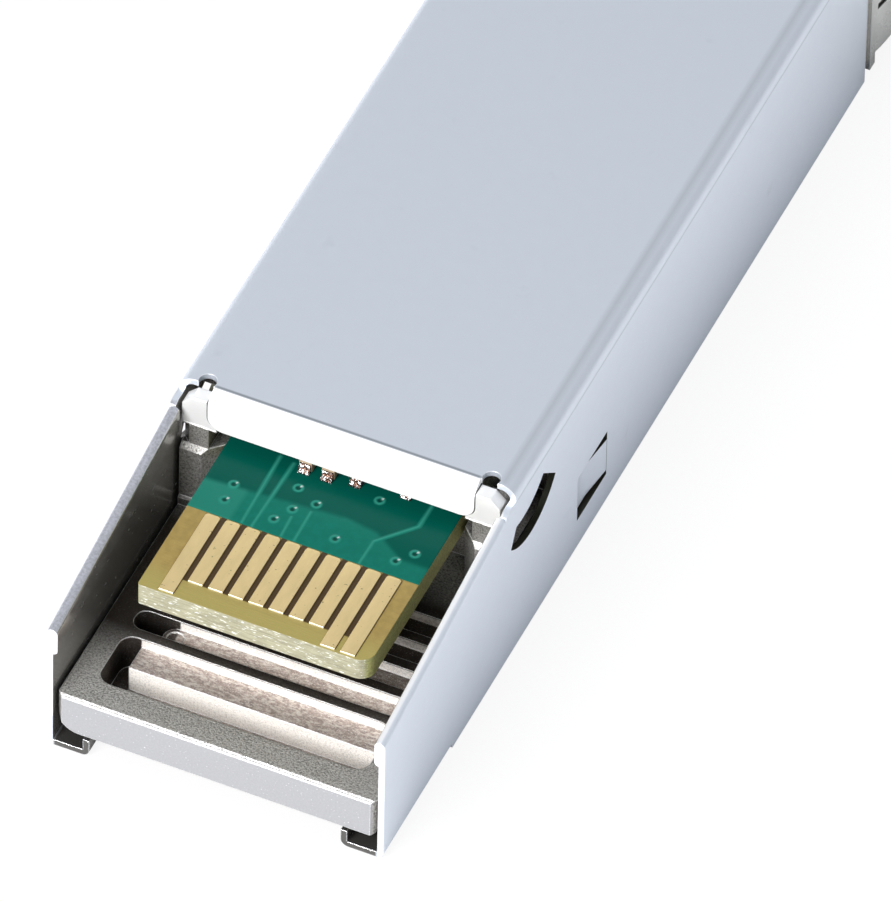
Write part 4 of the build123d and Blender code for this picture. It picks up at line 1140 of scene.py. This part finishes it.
class MODULE_OT_latch(bpy.types.Operator):
    """Dresses the latch lever and its pin, and winds its spring"""
    bl_idname = "module.latch"
    bl_label = "Latch"

    spring_keep = 0.52
    spring_turns = 4

    def execute(self, context):
        metals = context.scene.module_metal
        steel = plain_metal("stamped_steel", metals.steel, roughness=0.33, grain=0.08 * MM,
                            depth=0.002 * MM, edge=0.08 * MM, stretch=(1, 10, 1))
        link_piece("lever_stamping", node_copy("latch_lever", "lever_stamping"), steel, ["latch_lever"])
        ground = plain_metal("ground_steel", metals.pin, roughness=0.25, grain=0.05 * MM,
                             depth=0.0008 * MM, edge=0.05 * MM)
        link_piece("pivot_pin", node_copy("latch_pin", "pivot_pin"), ground, ["latch_pin"])
        low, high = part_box("latch_spring")
        wire = metals.coil_wire
        radius = (high.x - low.x) / 2 - wire
        centre = ((low.x + high.x) / 2, (low.y + high.y) / 2)
        surface = coil_surface(centre, low.z, high.z, radius, wire, self.spring_turns)
        mesh = join_surfaces("latch_coil", [surface], crease=60.0)
        coil = plain_metal("spring_wire", metals.coil, roughness=0.28, grain=0.05 * MM, depth=0.001 * MM)
        spring = link_piece("latch_coil", mesh, coil, ["latch_spring"])
        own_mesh(spring)
        return {"FINISHED"}


class MODULE_OT_bail(bpy.types.Operator):
    """Dresses the wire bail and its grip"""
    bl_idname = "module.bail"
    bl_label = "Bail"

    def execute(self, context):
        metals, front = context.scene.module_metal, context.scene.module_front
        wire = plain_metal("drawn_wire", metals.wire, roughness=0.26, grain=0.05 * MM, depth=0.001 * MM)
        link_piece("bail_loop", node_copy("bail", "bail_loop", crease=50.0), wire, ["bail"])
        grip = plain_plastic("grip_plastic", front.grip, roughness=0.5, grain=0.07 * MM,
                             depth=0.006 * MM, edge=0.1 * MM)
        link_piece("bail_handle", node_copy("bail_grip", "bail_handle"), grip, ["bail_grip"])
        return {"FINISHED"}


class MODULE_OT_stage(bpy.types.Operator):
    """Sets the floor, the lamps, the sky and the camera"""
    bl_idname = "module.stage"
    bl_label = "Stage"

    floor_half = 1.5
    floor_gap = 0.02
    floor_white = 0.9
    paper_depth = 0.01
    sky_colour = (0.93, 0.96, 1.0, 1.0)
    aim_share = 0.6
    aim_height = 4.0

    def execute(self, context):
        stage = context.scene.module_stage
        context.scene.view_settings.view_transform = "Standard"
        self.make_floor(stage)
        self.make_sky(context, stage)
        self.make_lamp("key_lamp", stage.key, stage.key_place, stage.key_size)
        self.make_lamp("fill_lamp", stage.fill, stage.fill_place, stage.fill_size)
        self.make_camera(context, stage)
        return {"FINISHED"}

    def make_floor(self, stage):
        """A large flat sheet of paper that the camera sees almost white."""
        half, level = self.floor_half, -self.floor_gap * MM
        corners = np.array([[x * half, y * half, level] for x, y in ((-1, -1), (1, -1), (1, 1), (-1, 1))])
        mesh = surface_mesh("floor", corners, np.array([[0, 1, 2, 3]]))
        floor = bpy.data.objects.new("floor", mesh)
        bpy.context.scene.collection.objects.link(floor)
        shader = Shader("paper", Base_Color=stage.floor_colour, Roughness=0.9)
        shader.relief(shader.pattern("paper"), self.paper_depth * MM)
        shader.done()
        rays = shader.add("LightPath").outputs
        white = shader.add("Emission", {"Color": (1.0, 1.0, 1.0), "Strength": 1.0})
        seen = shader.maths("MULTIPLY", rays["Is Camera Ray"], self.floor_white)
        blend = shader.add("MixShader", {0: seen, 1: shader.surface.outputs[0], 2: white.outputs[0]})
        output = shader.tree.nodes["Material Output"]
        shader.tree.links.new(blend.outputs[0], output.inputs["Surface"])
        mesh.materials.append(shader.material)

    def make_sky(self, context, stage):
        """An even sky, white to the camera and dimmer as light."""
        world = bpy.data.worlds.new("studio")
        world.use_nodes = True
        context.scene.world = world
        nodes, links = world.node_tree.nodes, world.node_tree.links
        even = nodes["Background"]
        even.inputs["Color"].default_value = self.sky_colour
        even.inputs["Strength"].default_value = stage.sky
        white = nodes.new("ShaderNodeBackground")
        white.inputs["Color"].default_value = (1.0, 1.0, 1.0, 1.0)
        rays = nodes.new("ShaderNodeLightPath")
        blend = nodes.new("ShaderNodeMixShader")
        links.new(rays.outputs["Is Camera Ray"], blend.inputs[0])
        links.new(even.outputs[0], blend.inputs[1])
        links.new(white.outputs[0], blend.inputs[2])
        links.new(blend.outputs[0], nodes["World Output"].inputs["Surface"])

    def make_lamp(self, name, power, place, size):
        """A square soft lamp that faces the rear half of the module."""
        lamp = bpy.data.lights.new(name, "AREA")
        lamp.energy = power
        lamp.size = size
        holder = bpy.data.objects.new(name, lamp)
        bpy.context.scene.collection.objects.link(holder)
        holder.location = place
        aim = Vector((0, cad_low.y * self.aim_share, self.aim_height * MM))
        holder.rotation_euler = (Vector(place) - aim).to_track_quat("Z", "Y").to_euler()

    def make_camera(self, context, stage):
        """The camera at the photograph's view."""
        data = bpy.data.cameras.new("camera")
        data.lens = stage.lens
        data.sensor_width = 36.0
        data.clip_start, data.clip_end = 0.05, 10.0
        camera = bpy.data.objects.new("camera", data)
        context.scene.collection.objects.link(camera)
        camera.location = stage.camera_place
        camera.rotation_euler = stage.camera_turn
        context.scene.camera = camera


class MODULE_PT_pieces(bpy.types.Panel):
    """Lists the pieces and the settings of the transceiver"""
    bl_label = "Transceiver"
    bl_idname = "MODULE_PT_pieces"
    bl_space_type = "VIEW_3D"
    bl_region_type = "UI"
    bl_category = "Transceiver"

    def draw(self, context):
        for operator in OPERATORS:
            self.layout.operator(operator.bl_idname)
        for name in SETTINGS:
            group = getattr(context.scene, name)
            box = self.layout.box()
            for entry in group.bl_rna.properties:
                if entry.identifier not in ("rna_type", "name"):
                    box.prop(group, entry.identifier)


OPERATORS = (MODULE_OT_cover, MODULE_OT_casting, MODULE_OT_board, MODULE_OT_contacts, MODULE_OT_components,
             MODULE_OT_optics, MODULE_OT_collar, MODULE_OT_latch, MODULE_OT_bail, MODULE_OT_stage)
SETTINGS = {"module_metal": MetalSettings, "module_board": BoardSettings, "module_front": FrontSettings,
            "module_stage": StageSettings}


def register():
    """Registers the settings, the operators and the panel."""
    for group in (*SETTINGS.values(), *OPERATORS, MODULE_PT_pieces):
        bpy.utils.register_class(group)
    for name, group in SETTINGS.items():
        setattr(bpy.types.Scene, name, PointerProperty(type=group))


def unregister():
    """Takes everything back out again."""
    for name in SETTINGS:
        delattr(bpy.types.Scene, name)
    for group in (MODULE_PT_pieces, *reversed(OPERATORS), *reversed(list(SETTINGS.values()))):
        bpy.utils.unregister_class(group)


def main():
    """Builds every piece and the stage."""
    register()
    bpy.ops.module.cover()
    bpy.ops.module.casting()
    bpy.ops.module.board()
    bpy.ops.module.contacts()
    bpy.ops.module.components()
    bpy.ops.module.optics()
    bpy.ops.module.collar()
    bpy.ops.module.latch()
    bpy.ops.module.bail()
    bpy.ops.module.stage()


if __name__ == "__main__":
    main()
